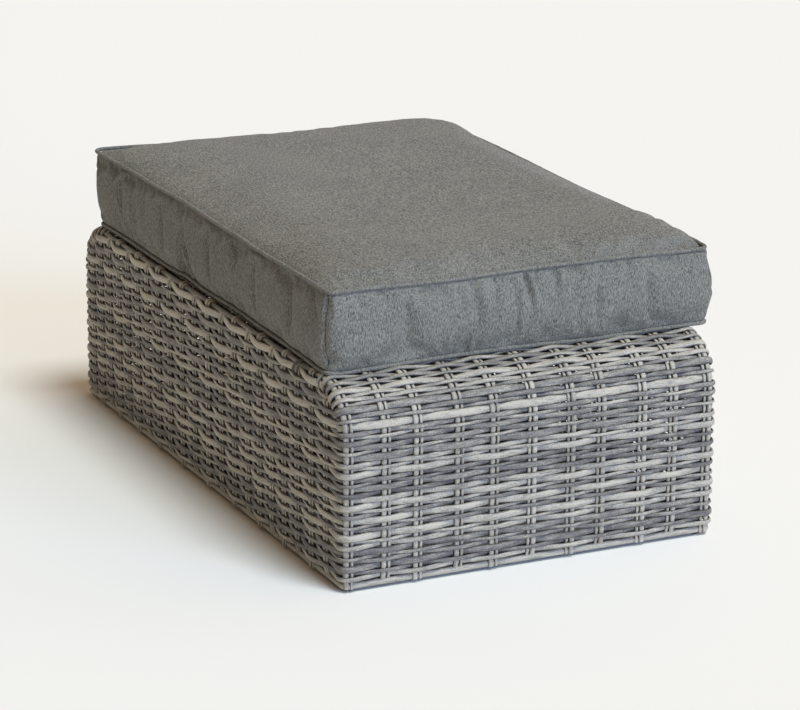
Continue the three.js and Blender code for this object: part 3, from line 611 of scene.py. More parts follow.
def weave_on_wall(name, wall, rows, places, **values):
    """Weaves rows of canes over crossings at these places, and lays them on a wall."""
    crossings = points_object(name + "_crossings", place=places)
    made = grow(
        cane_points(name + "_canes", rows), WOVEN_WALL, name, "bench", Crossings=crossings,
        Half_Width=wall["half"], Half_Depth=wall["depth"], Corner_Radius=CORNER, Roll_Radius=wall["roll"],
        Spring_Height=wall["spring"], Facing=wall["facing"], Centre=BENCH_CENTRE, **values,
    )
    bpy.data.objects.remove(crossings)
    return made


def rows_of(wall):
    """Height, width, tone and phase of each row of a wall, from the bottom up."""
    count = len(row_heights) if wall["roll"] == ROLL else side_rows
    rows = list(zip(row_heights[:count], row_widths[:count], row_tones[:count], row_phases[:count]))
    if count == side_rows:
        rows.append((LEAF["height"], LEAF["width"], LEAF["tone"], count % 2))
    return rows


def weave_rows(name, wall):
    places = wall_crossings(wall)
    reach, is_end = places[-1], wall["roll"] == ROLL
    rows = []
    for height, width, tone, phase in rows_of(wall):
        phase = (phase + wall["long_phase"]) % 2
        trim, tuck = (0.0 if phase == 0 else places[1] - places[0]), 0.0
        if height > ROLL_START:
            if is_end:
                trim = reach - round_corner(wall["half"], CORNER + ROLL_LAP)
            else:
                edge = ROLL - CORNER - ROLL_GAP
                climb = min(height - SPRING, edge - ROLL_GAP)
                trim = reach - (HALF_LENGTH - ROLL + math.sqrt(edge**2 - max(climb, 0) ** 2))
            tuck = END_TUCK
        rows.append((height, width, tone, phase, trim, trim, tuck, tuck))
    return weave_on_wall(
        name, wall, rows, places, Rise=0.0034 if is_end else 0.0042, Narrowing=0.88, Pinch=0.11,
        Thickness_Share=0.45, Wander=0.0004, Steps=5, Sides=8, Quarter_Turn=0.0, Material=CANE,
    )


for side, wall in WALLS.items():
    replaced = [f"{side}_weave"]
    if wall["roll"] != ROLL:
        replaced.append(f"{side}_outer_border")
    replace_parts(weave_rows(f"{side}_strands", wall), *replaced)

# %% [markdown]
# ## Stakes
# Each stake is a pair: a wide cane with a narrow one to its right. They are nearly straight, and only swell
# a little between the rows that hold them down. On a long side every second pair goes on over the rail and
# ties it down. The others end above the wide edge strand, tucked in behind the rail.

# %% Stakes
PAIR = ((0.0033, 0.0086), (-0.0050, 0.0050))
MIRRORED_FROM = 5
FOOT_CROSSING, RAIL_TAIL, DECK_LAP = 0.0055, 0.007, 0.012
DECK_START = SPRING + ROLL * QUARTER + 0.006
WRAPPED_FOOT, HIDDEN_FOOT = (0.0, 0.0006), (0.0060, 0.003)


def weave_stakes(name, wall):
    is_end = wall["roll"] == ROLL
    heights = [row[0] for row in rows_of(wall)]
    over_rail = RAIL_HEIGHT + RAIL_BEND * QUARTER
    upper = [DECK_START + DECK_LAP] if is_end else [over_rail, over_rail + RAIL_TAIL]
    places = [FOOT_CROSSING, *heights] + upper
    top, rows = places[-1], []
    for index, stake in enumerate(wall["own"]):
        tone = 0.55 + 0.3 * chance.random()
        order = 1 if is_end and index >= MIRRORED_FROM else -1
        phase = (index + 1 + wall["long_phase"]) % 2
        trim_foot, tuck_foot = WRAPPED_FOOT if phase == 1 else HIDDEN_FOOT
        for shift, width in PAIR:
            spot = stake + order * shift
            trim_top, tuck_top = 0.0, 0.0
            if not is_end:
                on_leaf = (len(heights) + phase) % 2 == 1
                trim_top, tuck_top = (top - RAIL_HEIGHT if on_leaf else 0.0), END_TUCK
                past = abs(spot) - (HALF_LENGTH - ROLL)
                if past > 0:
                    trim_top = top - SPRING - math.sqrt(max((ROLL - CORNER) ** 2 - past**2, 0))
            rows.append((-spot, width, tone, phase, trim_foot, trim_top, tuck_foot, tuck_top))
    return weave_on_wall(
        name, wall, rows, places, Rise=0.0007, Narrowing=0.93, Thickness_Share=0.55, Wander=0.0003,
        Steps=2, Sides=8, Quarter_Turn=QUARTER, Material=STAKE,
    )


for side, wall in WALLS.items():
    weave_stakes(f"{side}_stakes", wall)

# %% [markdown]
# ## Deck
# The end stakes run on along the deck that the cushion lies on, and strands cross them. One more pair closes
# each long edge beside the frame. The same tree weaves it flat: a wall whose roll has almost no radius and
# starts at its foot is a level sheet.

# %% Deck
DECK_HEIGHT, DECK_INSET = 0.2960, 0.006
FIRST_DECK_ROW, LAST_ROW_GAP, MOST_ROWS = 0.005, 0.004, 140
deck_low, deck_high = (Vector(corner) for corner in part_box("deck_weave"))
DECK_LENGTH, DECK_WIDTH = deck_high.y - deck_low.y + 0.008, deck_high.x - deck_low.x + 0.027
DECK_EDGE = DECK_WIDTH / 2 - DECK_INSET
DECK_STAKES = [-DECK_EDGE, *END_STAKES[1:-1], DECK_EDGE]
deck_widths = 0.0072 + 0.0030 * chance.random(MOST_ROWS)
deck_rows = row_places(FIRST_DECK_ROW, deck_widths)
deck_rows = deck_rows[deck_rows < DECK_LENGTH - LAST_ROW_GAP]


def weave_deck(name, rows, places, **values):
    crossings = points_object(name + "_crossings", place=places)
    made = grow(
        cane_points(name + "_canes", rows), WOVEN_WALL, name, "bench", Crossings=crossings,
        Half_Width=DECK_WIDTH, Half_Depth=DECK_LENGTH / 2, Corner_Radius=CORNER, Roll_Radius=0.001,
        Spring_Height=0.0, Facing=0.0, Centre=BENCH_CENTRE + Vector((0, 0, DECK_HEIGHT)), Sides=6,
        Wander=0.0003, Narrowing=0.95, **values,
    )
    bpy.data.objects.remove(crossings)
    return made


rows = []
for index, (place, width) in enumerate(zip(deck_rows, deck_widths)):
    rows.append((place, width, 0.3 + 0.5 * chance.random(), index % 2, 0, 0, 0, 0))
deck = weave_deck(
    "deck_strands", rows, [-DECK_WIDTH / 2, *DECK_STAKES, DECK_WIDTH / 2],
    Rise=0.0026, Thickness_Share=0.42, Steps=3, Quarter_Turn=0.0, Material=CANE,
)
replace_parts(deck, "deck_weave")

rows = []
for index, stake in enumerate(DECK_STAKES):
    for shift, width in PAIR:
        rows.append((-stake - shift, width, 0.6, index % 2, 0, 0, 0, 0))
weave_deck(
    "deck_stakes", rows, [0.0, *deck_rows, DECK_LENGTH],
    Rise=0.0006, Thickness_Share=0.5, Steps=1, Quarter_Turn=QUARTER, Material=STAKE,
)

# %% [markdown]
# ## A cord along a line
# A rail, a tie and a piping cord are all one thing: a round section swept along a line. A small tree does
# it for all of them.

# %% Tree: cord along a line
def cord_along_line():
    inputs = {
        "Line": ("Geometry", None),
        "Radius": ("Float", 0.003),
        "Sides": ("Int", 8),
        "Tone": ("Float", 0.5),
        "Material": ("Material", None),
    }
    tree, given, result = new_tree("Cord along a line", "GeometryNodeTree", inputs, MESH_OUT)
    path = result_of(tree, "GeometryNodeMeshToCurve", {"Mesh": given["Line"]})
    path = result_of(tree, "GeometryNodeSetCurveNormal", {"Curve": path}, mode="Z_UP")
    measure = step(tree, "GeometryNodeSplineParameter").outputs["Length"]
    kept_along = capture(tree, path, "Along", measure)
    round_section = {"Resolution": given["Sides"], "Radius": given["Radius"]}
    section = result_of(tree, "GeometryNodeCurvePrimitiveCircle", round_section)
    kept_round = capture(tree, section, "Round", measure)
    swept = result_of(
        tree, "GeometryNodeCurveToMesh",
        {"Curve": kept_along["Geometry"], "Profile Curve": kept_round["Geometry"], "Fill Caps": True},
    )
    grain = vector(tree, kept_along["Along"], kept_round["Round"], 0.0)
    swept = store(tree, swept, "CaneUV", grain, "FLOAT2", "CORNER")
    swept = store(tree, swept, "tone", given["Tone"], "FLOAT", "POINT")
    end_in_faces(tree, result, swept, given["Material"])
    return tree


CORD_ALONG_LINE = cord_along_line()


def line_object(name, points, closed=False):
    count = len(points)
    edges = [(i, (i + 1) % count) for i in range(count if closed else count - 1)]
    mesh = bpy.data.meshes.new(name)
    mesh.from_pydata([tuple(point) for point in points], edges, [])
    return put_in_scene(name, mesh)


def cord(name, points, body, slot, closed=False, **values):
    made = grow(line_object(name + "_line", points, closed), CORD_ALONG_LINE, name, body, **values)
    return made


def round_ring(half_x, half_y, radius, count):
    """Points round a rectangle with round corners, so many in each corner."""
    ring = []
    for turn, (side_x, side_y) in enumerate(((1, 1), (-1, 1), (-1, -1), (1, -1))):
        for angle in np.radians(np.linspace(90 * turn, 90 * turn + 90, count)):
            x = side_x * (half_x - radius) + radius * math.cos(angle)
            y = side_y * (half_y - radius) + radius * math.sin(angle)
            ring.append((x, y))
    return ring


# %% [markdown]
# ## Rails, bottom border and tie
# A dark cane rail runs along each long side, just under the cushion, and every second stake pair is bound
# over it. A pale one runs round the foot of the body, where every second pair is bound over it too. One dark
# tie of two turns holds the rail and the wide edge strand near the short end.

# %% Rails, bottom border and tie
RAIL_X, RAIL_END = HALF_WIDTH - RAIL_BEND, HALF_LENGTH - ROLL + 0.004
RAIL_POINTS, RAIL_WAVE, RAIL_DIP, DIP_RUN = 60, 0.0006, 0.010, 0.02
BORDER_HEIGHT, BORDER_RADIUS, BORDER_INSET, BORDER_CORNER = 0.0090, 0.0048, 0.0048, 0.007


def rail_line(turn):
    points = []
    for y in np.linspace(-RAIL_END, RAIL_END, RAIL_POINTS):
        dip = RAIL_DIP * np.clip((abs(y) - RAIL_END + DIP_RUN) / DIP_RUN, 0, 1) ** 2
        wave = RAIL_WAVE * math.sin(31 * y + turn)
        points.append(Vector((turn * (RAIL_X + wave), y, RAIL_HEIGHT + wave - dip)) + BENCH_CENTRE)
    return points


for side, turn in (("left", -1), ("right", 1)):
    rail = cord(
        side + "_rail", rail_line(turn), "bench", "binding",
        Radius=RAIL_RADIUS, Sides=10, Tone=0.55, Material=BINDING,
    )
    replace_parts(rail, side + "_inner_border")

ring = round_ring(HALF_WIDTH - BORDER_INSET, HALF_LENGTH - BORDER_INSET, BORDER_CORNER, 7)
border = cord(
    "bottom_border", [Vector((x, y, BORDER_HEIGHT)) + BENCH_CENTRE for x, y in ring], "bench", "wicker",
    closed=True, Radius=BORDER_RADIUS, Sides=12, Tone=0.78, Material=CANE,
)
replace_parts(border, *(side + "_bottom_border" for side in WALLS))

TIE_PLACE = 0.154 - BODY_LENGTH / 2
TIE_PATH = [
    (-0.008, 0.2950), (-0.007, 0.2990), (-0.003, 0.3008), (0.003, 0.3000), (0.0095, 0.2960), (0.0130, 0.2900),
    (0.0132, 0.2845), (0.0100, 0.2800), (0.0030, 0.2780),
]
TIE_PITCH, TIE_SLANT = 0.0030, 0.0006
for index in range(2):
    points = []
    for number, (out, height) in enumerate(TIE_PATH):
        y = TIE_PLACE + index * TIE_PITCH + TIE_SLANT * number
        points.append(BENCH_CENTRE + Vector((-(RAIL_X + out), y, height)))
    cord(
        f"tie_turn_{index + 1}", points, "bench", "binding",
        Radius=0.0018, Sides=8, Tone=0.15, Material=BINDING,
    )

# %% [markdown]
# ## Cushion: where its seams run
# The cover is two panels joined by a strip, the boxing, with a covered cord sewn into both seams. Sewing
# draws the long seams in between the corners and leaves them a little wavy. One function gives the place of
# a seam at any share of the way round, and both the cloth and the cords follow it.

# %% Seam line
CORD_RADIUS, SEAM_CORNER, CORNER_POINTS = 0.003, 0.013, 7
cushion_low = Vector(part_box("piping_bottom")[0]) + Vector((CORD_RADIUS,) * 3)
cushion_high = Vector(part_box("piping_top")[1]) - Vector((CORD_RADIUS,) * 3)
cushion_middle = (cushion_low + cushion_high) / 2
HALF_X, HALF_Y = (cushion_high.x - cushion_low.x) / 2, (cushion_high.y - cushion_low.y) / 2
BOTTOM_SEAM, TOP_SEAM = cushion_low.z, cushion_high.z
STRIP_HEIGHT = TOP_SEAM - BOTTOM_SEAM
CUSHION_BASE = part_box("cover_bottom")[0][2] + 0.0002
SIDE_DRAW, WAVE_SIDE, WAVE_HEIGHT = 0.005, 0.0014, 0.0015
LOW_SHIFT, LOW_SAG = 0.0035, 0.0012
FOLD_PLACE, FOLD_LIFT, FOLD_REACH = 0.585, 0.0050, 0.045
FAR_CORNER = (-0.0040, 0.0055, 0.0055)


def seam_wave(x, y, phase):
    """Slow waves along a seam, as sideways and upward shares of one."""
    side = np.sin(15 * x + 11 * y + phase) * 0.65 + np.sin(29 * y - 31 * x + 2 * phase) * 0.35
    up = np.sin(13 * y + 17 * x + 3 * phase) * 0.75 + np.sin(31 * x + 27 * y - phase) * 0.25
    return side, up


def draw_in(points):
    """Moves points of a straight-sided box to where the drawn-in, wavy seams hold them. The lower seam is
    lifted in one fold on the left, and the far left corner is pulled out and up."""
    local = points - np.array(cushion_middle)
    u, v = local[:, 0] / HALF_X, local[:, 1] / HALF_Y
    near_x, near_y = np.clip(np.abs(u), 0, 1) ** 12, np.clip(np.abs(v), 0, 1) ** 18
    draw_x = SIDE_DRAW * (1 - 0.7 * np.clip(10 * u, 0, 1)) * (1 - np.abs(v) ** 3) * near_x
    draw_y = SIDE_DRAW * (1 - np.abs(u) ** 3) * near_y
    height = (points[:, 2] - BOTTOM_SEAM) / STRIP_HEIGHT
    low_side, low_up = seam_wave(points[:, 0], points[:, 1], 0.7)
    high_side, high_up = seam_wave(points[:, 0], points[:, 1], 4.1)
    side = low_side * (1 - height) + high_side * height
    up = (low_up * (1 - height) + high_up * height) * np.maximum(near_x, near_y)
    moved = points.copy()
    moved[:, 0] -= np.sign(u) * (draw_x + WAVE_SIDE * side * near_x)
    moved[:, 1] -= np.sign(v) * (draw_y + WAVE_SIDE * side * near_y)
    moved[:, 2] += WAVE_HEIGHT * up
    low = np.clip(1 - height, 0, 1)
    moved[:, 0] += LOW_SHIFT * low * np.clip(u, 0, 1)
    from_fold = (v - (2 * FOLD_PLACE - 1)) * HALF_Y
    left = np.clip((-u - 0.9) * 10, 0, 1)
    moved[:, 2] += FOLD_LIFT * low**3 * left * np.exp(-((from_fold / FOLD_REACH) ** 2))
    moved[:, 2] -= LOW_SAG * low * np.maximum(near_x, near_y)
    far_left = np.clip(height, 0, 1) * np.clip(0.5 - 0.5 * u, 0, 1) ** 3 * np.clip(0.5 + 0.5 * v, 0, 1)
    return moved + np.outer(far_left, FAR_CORNER)


def seam_outline(height, count):
    """Evenly spaced points round a seam: four straight runs and four round corners, then drawn in."""
    ring = round_ring(HALF_X, HALF_Y, SEAM_CORNER, CORNER_POINTS)
    ring = np.array(ring + ring[:1])
    lengths = np.concatenate([[0], np.cumsum(np.hypot(*np.diff(ring, axis=0).T))])
    at = np.linspace(0, lengths[-1], count, endpoint=False)
    xs, ys = (np.interp(at, lengths, ring[:, axis]) for axis in (0, 1))
    return draw_in(np.stack([xs + cushion_middle.x, ys + cushion_middle.y, np.full(count, height)], 1))


print("seams", round(BOTTOM_SEAM, 4), round(TOP_SEAM, 4), "half size", round(HALF_X, 4), round(HALF_Y, 4))

# %% [markdown]
# ## Cushion: cloth over foam
# A cover sewn slightly too large and filled with foam does three things at once: it swells, it stays where
# the seams hold it, and its spare cloth gathers into small puckers beside them. A cloth simulation does the
# same when its seams are pinned, its panels are let out a little and air presses from inside. Foam would
# stop the swelling early, so afterwards every point's travel is eased towards a small limit, and calmed
# where the photograph shows smooth cloth beside a seam.

# %% Cushion body
VOXEL, PUFF, SPARE_CLOTH, LAST_FRAME = 0.006, 4.0, 0.022, 20
BULGE, LEFT_BULGE, TOP_LIMIT, SIDE_LIMIT, EAGERNESS = 0.0066, 0.0050, 0.005, 0.006, 2.0
SHOULDER, BOTTOM_SHARE = 0.0220, 0.15
SHOULDER_REACH = dict(left=0.034, right=0.014, front=0.030, back=0.045)


def height_share(points):
    """How far up the strip each point is, 0 at the lower seam and 1 at the upper one."""
    return np.clip((points[:, 2] - BOTTOM_SEAM) / STRIP_HEIGHT, 0, 1)


def outward(points):
    """Sideways direction out of the cushion, full on its sides and nothing inside its panels."""
    local = points[:, :2] - np.array(cushion_middle)[:2]
    past = np.maximum(np.abs(local) - (np.array([HALF_X, HALF_Y]) - SEAM_CORNER), 0)
    return np.sign(local) * np.minimum(past / SEAM_CORNER, 1.0)


def bulge(points):
    """Swells the strip between the seams, most at the front right corner and least at the far left one,
    and gives the panels their round shoulders, steep beside the long seams."""
    local = points - np.array(cushion_middle)
    height = height_share(points)
    u, v = local[:, 0] / HALF_X, local[:, 1] / HALF_Y
    here = BULGE * (1 + 0.38 * u - 0.12 * v)
    here += LEFT_BULGE * np.clip(-u - 0.9, 0, 0.1) * 10 * (1 - np.clip(np.abs(v), 0, 1) ** 4)
    swollen = points.copy()
    swollen[:, :2] += (here * np.sin(math.pi * height) ** 0.6)[:, None] * outward(points)
    rise = np.full(len(points), SHOULDER)
    for side, gap in (
        ("left", HALF_X + local[:, 0]), ("right", HALF_X - local[:, 0]),
        ("front", HALF_Y + local[:, 1]), ("back", HALF_Y - local[:, 1]),
    ):
        rise *= 1 - np.exp(-np.maximum(gap, 0) / SHOULDER_REACH[side])
    swollen[:, 2] += rise * (height > 0.98) - BOTTOM_SHARE * rise * (height < 0.02)
    return swollen


def cover_blank():
    """A closed box with round upright corners."""
    ring = [
        (x + cushion_middle.x, y + cushion_middle.y)
        for x, y in round_ring(HALF_X, HALF_Y, SEAM_CORNER, 5)
    ]
    count = len(ring)
    points = [(x, y, z) for z in (BOTTOM_SEAM, TOP_SEAM) for x, y in ring]
    faces = [tuple(range(count))[::-1], tuple(range(count, 2 * count))]
    faces += [(i, (i + 1) % count, count + (i + 1) % count, count + i) for i in range(count)]
    mesh = bpy.data.meshes.new("cover blank")
    mesh.from_pydata(points, [], faces)
    return put_in_scene("cover blank", mesh)


def evaluated_copy(source, name):
    depsgraph = bpy.context.evaluated_depsgraph_get()
    mesh = bpy.data.meshes.new_from_object(source.evaluated_get(depsgraph), depsgraph=depsgraph)
    mesh.name = name
    return put_in_scene(name, mesh)


def coordinates(mesh):
    flat = np.empty(len(mesh.vertices) * 3, np.float32)
    mesh.vertices.foreach_get("co", flat)
    return flat.reshape(-1, 3).astype(float)


def set_coordinates(mesh, points):
    mesh.vertices.foreach_set("co", points.astype(np.float32).ravel())
    mesh.update()


blank = cover_blank()
remesh = blank.modifiers.new("even faces", "REMESH")
remesh.mode, remesh.voxel_size = "VOXEL", VOXEL
cover = evaluated_copy(blank, "cushion_cover")
bpy.data.objects.remove(blank)
straight = coordinates(cover.data)
start = bulge(draw_in(straight))
set_coordinates(cover.data, start)
print("cover blank", len(start), "points")

# %% Pin the seams
local = np.abs(straight - np.array(cushion_middle))
past_x, past_y = local[:, 0] - (HALF_X - SEAM_CORNER), local[:, 1] - (HALF_Y - SEAM_CORNER)
corner_gap = np.hypot(np.maximum(past_x, 0), np.maximum(past_y, 0)) - SEAM_CORNER
edge_gap = np.maximum(local[:, 0] - HALF_X, local[:, 1] - HALF_Y)
edge_gap = np.where((past_x > 0) & (past_y > 0), corner_gap, edge_gap)
near = 0.75 * VOXEL
pins = np.flatnonzero((edge_gap > -near) & (local[:, 2] > STRIP_HEIGHT / 2 - near))
print(len(pins), "pinned points")

# %% Let the cloth settle
CALM_BACK, CALM_LEFT, CALM_FRONT = 0.8, 0.85, 0.4
LEFT_RUN, FRONT_RUN = 0.10, 0.08


def calm(points, travel):
    """Takes up and down travel away beside the back, left and front seams of the upper panel."""
    on_top = points[:, 2] > cushion_middle.z
    at_back = np.clip((points[:, 1] - cushion_middle.y) / HALF_Y * 4 - 3, 0, 1)
    at_left = np.exp(-(((points[:, 0] - cushion_low.x) / LEFT_RUN) ** 2)) * on_top
    at_front = np.exp(-(((points[:, 1] - cushion_low.y) / FRONT_RUN) ** 2)) * on_top
    travel[:, 2] *= (1 - CALM_BACK * at_back) * (1 - CALM_LEFT * at_left) * (1 - CALM_FRONT * at_front)
    return travel


seam_group = cover.vertex_groups.new(name="seam")
seam_group.add([int(i) for i in pins], 1.0, "REPLACE")
cloth = cover.modifiers.new("cloth", "CLOTH")
cloth.point_cache.frame_start, cloth.point_cache.frame_end = 1, LAST_FRAME
settings = cloth.settings
settings.quality, settings.mass = 5, 0.25
settings.tension_stiffness = settings.compression_stiffness = 20
settings.shear_stiffness, settings.bending_stiffness = 8, 0.6
settings.use_pressure, settings.uniform_pressure_force = True, PUFF
settings.shrink_min = -SPARE_CLOTH
settings.vertex_group_mass = "seam"
settings.effector_weights.gravity = 0
cloth.collision_settings.use_collision = False
for moment in range(1, LAST_FRAME + 1):
    bpy.context.scene.frame_set(moment)
settled = evaluated_copy(cover, "cushion_cover_settled")
travel = coordinates(settled.data) - start
bpy.data.objects.remove(settled)
cover.modifiers.clear()
cover.vertex_groups.clear()
print("cloth travelled up to", round(float(np.abs(travel).max()), 4))
for axis, limit in enumerate((SIDE_LIMIT, SIDE_LIMIT, TOP_LIMIT)):
    travel[:, axis] = limit * np.tanh(EAGERNESS * travel[:, axis] / limit)
set_coordinates(cover.data, start + calm(straight, travel))
bpy.context.scene.frame_set(1)

# %% [markdown]
# ## Cushion: creases
# Where the strip was handled and filled, a few deeper creases stand across it. Each is a narrow valley with
# a soft ridge beside it that leans a little and fades out up or down the strip.

# %% Creases
FRONT_CREASES = [
    (0.513, 0.80, 0.26, -0.16, 0.0080, 0.0036),
    (0.372, 0.66, 0.26, -0.12, 0.0045, 0.0070),
    (0.352, 0.13, 0.18, 0.30, 0.0055, 0.0042),
    (0.588, 0.86, 0.22, 0.05, 0.0040, 0.0040),
    (0.425, 0.88, 0.20, -0.05, 0.0030, 0.0045),
    (0.330, 0.85, 0.25, -0.05, 0.0022, 0.0055),
    (0.780, 0.88, 0.25, 0.04, 0.0020, 0.0060),
]
LEFT_CREASES = [
    (0.600, 0.30, 0.32, -0.34, 0.0065, 0.0060),
    (0.565, 0.26, 0.28, 0.38, 0.0055, 0.0055),
    (0.120, 0.25, 0.30, 0.20, 0.0025, 0.0080),
    (0.800, 0.50, 0.40, 0.10, 0.0015, 0.0100),
]
EDGE_START, EDGE_FADE = 0.012, 0.008


def crease_depth(along, height, creases, run):
    """Depth at shares along and up a side. Each crease has a place and height share, a length share, a
    lean, a depth and a width."""
    depth = np.zeros_like(along)
    for place, middle, length, lean, deep, width in creases:
        off = (along - place) * run - lean * (height - middle) * STRIP_HEIGHT
        fade = np.exp(-(((height - middle) / length) ** 2))
        fade *= np.clip(np.minimum(height, 1 - height) * 12, 0, 1)
        valley = np.exp(-((off / width) ** 2))
        ridge = 0.6 * np.exp(-(((off - 2.2 * width) / width) ** 2))
        depth += deep * fade * (valley - ridge)
    return depth


def press_creases(points):
    height = height_share(points)
    along_x = (points[:, 0] - cushion_low.x) / (2 * HALF_X)
    along_y = (points[:, 1] - cushion_low.y) / (2 * HALF_Y)
    front = np.clip((cushion_low.y + EDGE_START - points[:, 1]) / EDGE_FADE, 0, 1)
    left = np.clip((cushion_low.x + EDGE_START - points[:, 0]) / EDGE_FADE, 0, 1)
    pressed = points.copy()
    pressed[:, 1] += front * crease_depth(along_x, height, FRONT_CREASES, 2 * HALF_X)
    pressed[:, 0] += left * crease_depth(along_y, height, LEFT_CREASES, 2 * HALF_Y)
    return pressed


# %% [markdown]
# ## Cushion: gathers
# A sewing machine feeds the panel and the strip unevenly, so the cloth gathers into fine ripples that start
# at the seam and run out across the panel. They are too fine for the simulation, and are added to the
# subdivided cloth as a ripple whose strength comes and goes along the seam.

# %% Gathers
RIPPLE_PITCH, PANEL_MARGIN, PANEL_FADE = 0.0175, 0.002, 0.004


def ripple(along, away, length, depth, seed):
    """Ripples across a seam, at distances along it and away from it."""
    phase = 2.2 * np.sin(23 * along + seed) + 1.3 * np.sin(61 * along + 2 * seed)
    strength = np.clip(0.35 + 0.9 * np.sin(17 * along + 3 * seed) * np.sin(7.3 * along + seed), 0, 1.2)
    full = 0.16 * length
    reach = np.clip(away / full, 0, 1) * np.exp(-np.maximum(away - full, 0) / (0.4 * length))
    return depth * strength * reach * np.sin(2 * math.pi * along / RIPPLE_PITCH + phase)


def gather(points):
    local = points - np.array(cushion_middle)
    on_panel = np.clip((HALF_X - PANEL_MARGIN - np.abs(local[:, 0])) / PANEL_FADE, 0, 1)
    on_panel *= np.clip((HALF_Y - PANEL_MARGIN - np.abs(local[:, 1])) / PANEL_FADE, 0, 1)
    lift = np.zeros(len(points))
    for axis, away, length, depth, seed in (
        (0, local[:, 1] + HALF_Y, 0.075, 0.0011, 1.0), (0, HALF_Y - local[:, 1], 0.07, 0.0003, 2.0),
        (1, local[:, 0] + HALF_X, 0.05, 0.0003, 3.0), (1, HALF_X - local[:, 0], 0.05, 0.0002, 4.0),
    ):
        lift += ripple(points[:, axis], np.maximum(away, 0), length, depth, seed)
    gathered = points.copy()
    gathered[:, 2] += np.sign(local[:, 2]) * on_panel * lift
    side = outward(points)
    from_top, from_bottom = np.maximum(TOP_SEAM - points[:, 2], 0), np.maximum(points[:, 2] - BOTTOM_SEAM, 0)
    for axis, other in ((0, 1), (1, 0)):
        run = points[:, other]
        out = ripple(run, from_top, 0.040, 0.0008, 5.0 + axis)
        out += ripple(run, from_bottom, 0.035, 0.0008, 7.0 + axis)
        gathered[:, axis] += side[:, axis] * (1 - on_panel) * out
    return gathered


# %% [markdown]
# ## Cushion: corner seams and the place of the zip
# The strip is pulled in along its upright corner seams, and the panel is dented beside the front right one.
# On the back the strip is held behind the zip, with sloping lips round it. Then the cloth is made finer,
# gathered, creased and kept above the deck.

# %% Corners and zip
SEAM_TURN, GROOVE, GROOVE_WIDTH = math.radians(24), 0.0020, 0.0022
CORNERS = ((-1, -1), (1, -1), (1, 1), (-1, 1))
DENT_INSET, DENT_SIZE, DENT_DEPTH = (0.011, 0.013), (0.009, 0.010), 0.011
LIP, BEHIND_ZIP, PULL_ROOM = 0.0005, 0.0004, 0.004
zip_low, zip_high = (Vector(corner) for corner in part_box("zip_chain"))
pull_high = Vector(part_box("zip_pull")[1])
zip_middle = (zip_low.z + zip_high.z) / 2


def close_corners(points):
    local = points - np.array(cushion_middle)
    height = height_share(points)
    closed = points.copy()
    for side_x, side_y in CORNERS:
        past_x = side_x * local[:, 0] - (HALF_X - SEAM_CORNER)
        past_y = side_y * local[:, 1] - (HALF_Y - SEAM_CORNER)
        off = SEAM_CORNER * (np.arctan2(past_y, np.maximum(past_x, 1e-5)) - SEAM_TURN)
        at_corner = (past_x > -SEAM_CORNER) & (past_y > -SEAM_CORNER) & (past_x + past_y > 0.2 * SEAM_CORNER)
        groove = GROOVE * at_corner * np.exp(-((off / GROOVE_WIDTH) ** 2))
        groove *= np.clip(np.sin(math.pi * height) * 4, 0, 1)
        closed[:, 0] -= side_x * groove
        closed[:, 1] -= side_y * groove
    dent_x = (local[:, 0] - (HALF_X - DENT_INSET[0])) / DENT_SIZE[0]
    dent_y = (local[:, 1] + (HALF_Y - DENT_INSET[1])) / DENT_SIZE[1]
    dent = DENT_DEPTH * np.exp(-(dent_x**2) - dent_y**2)
    closed[:, 2] -= dent * (local[:, 2] > 0) * (height > 0.9)
    return closed


def open_for_zip(points):
    """Holds the back strip behind the zip, with room for the pull past both ends."""
    half_height = (zip_high.z - zip_low.z) / 2
    aside = np.maximum(np.abs(points[:, 2] - zip_middle) - half_height - LIP, 0)
    overhang = pull_high.x - zip_high.x + PULL_ROOM
    right_gap = np.maximum(points[:, 0] - zip_high.x - overhang, 0)
    left_gap = np.maximum(zip_low.x - overhang - points[:, 0], 0)
    limit = zip_low.y - BEHIND_ZIP + 1.1 * aside + 0.8 * right_gap + 0.8 * left_gap
    opened = points.copy()
    opened[:, 1] = np.minimum(points[:, 1], limit)
    return opened


finer = cover.modifiers.new("finer", "SUBSURF")
finer.levels = finer.render_levels = 1
fine_cover = evaluated_copy(cover, "cushion_cover_fine")
bpy.data.objects.remove(cover)
cover = fine_cover
points = open_for_zip(close_corners(press_creases(gather(coordinates(cover.data)))))
points[:, 2] = np.maximum(points[:, 2], CUSHION_BASE)
set_coordinates(cover.data, points)
for face in cover.data.polygons:
    face.use_smooth = True
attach(cover, "cushion")
print("cover box", [round(v, 4) for v in (*points.min(0), *points.max(0))])

# %% [markdown]
# ## Cushion: heathered cloth
# The cloth is woven from yarns that were dyed in several greys before spinning, which gives a fine mottled
# tone called heather. Long thin flecks stand for the yarns. They run up the strip and along the panels, so
# which of two noises shows follows from the way the cloth faces, and a coarser one stands for small bunches
# of yarns. The cloth is matt, with the faint pale sheen of polyester.

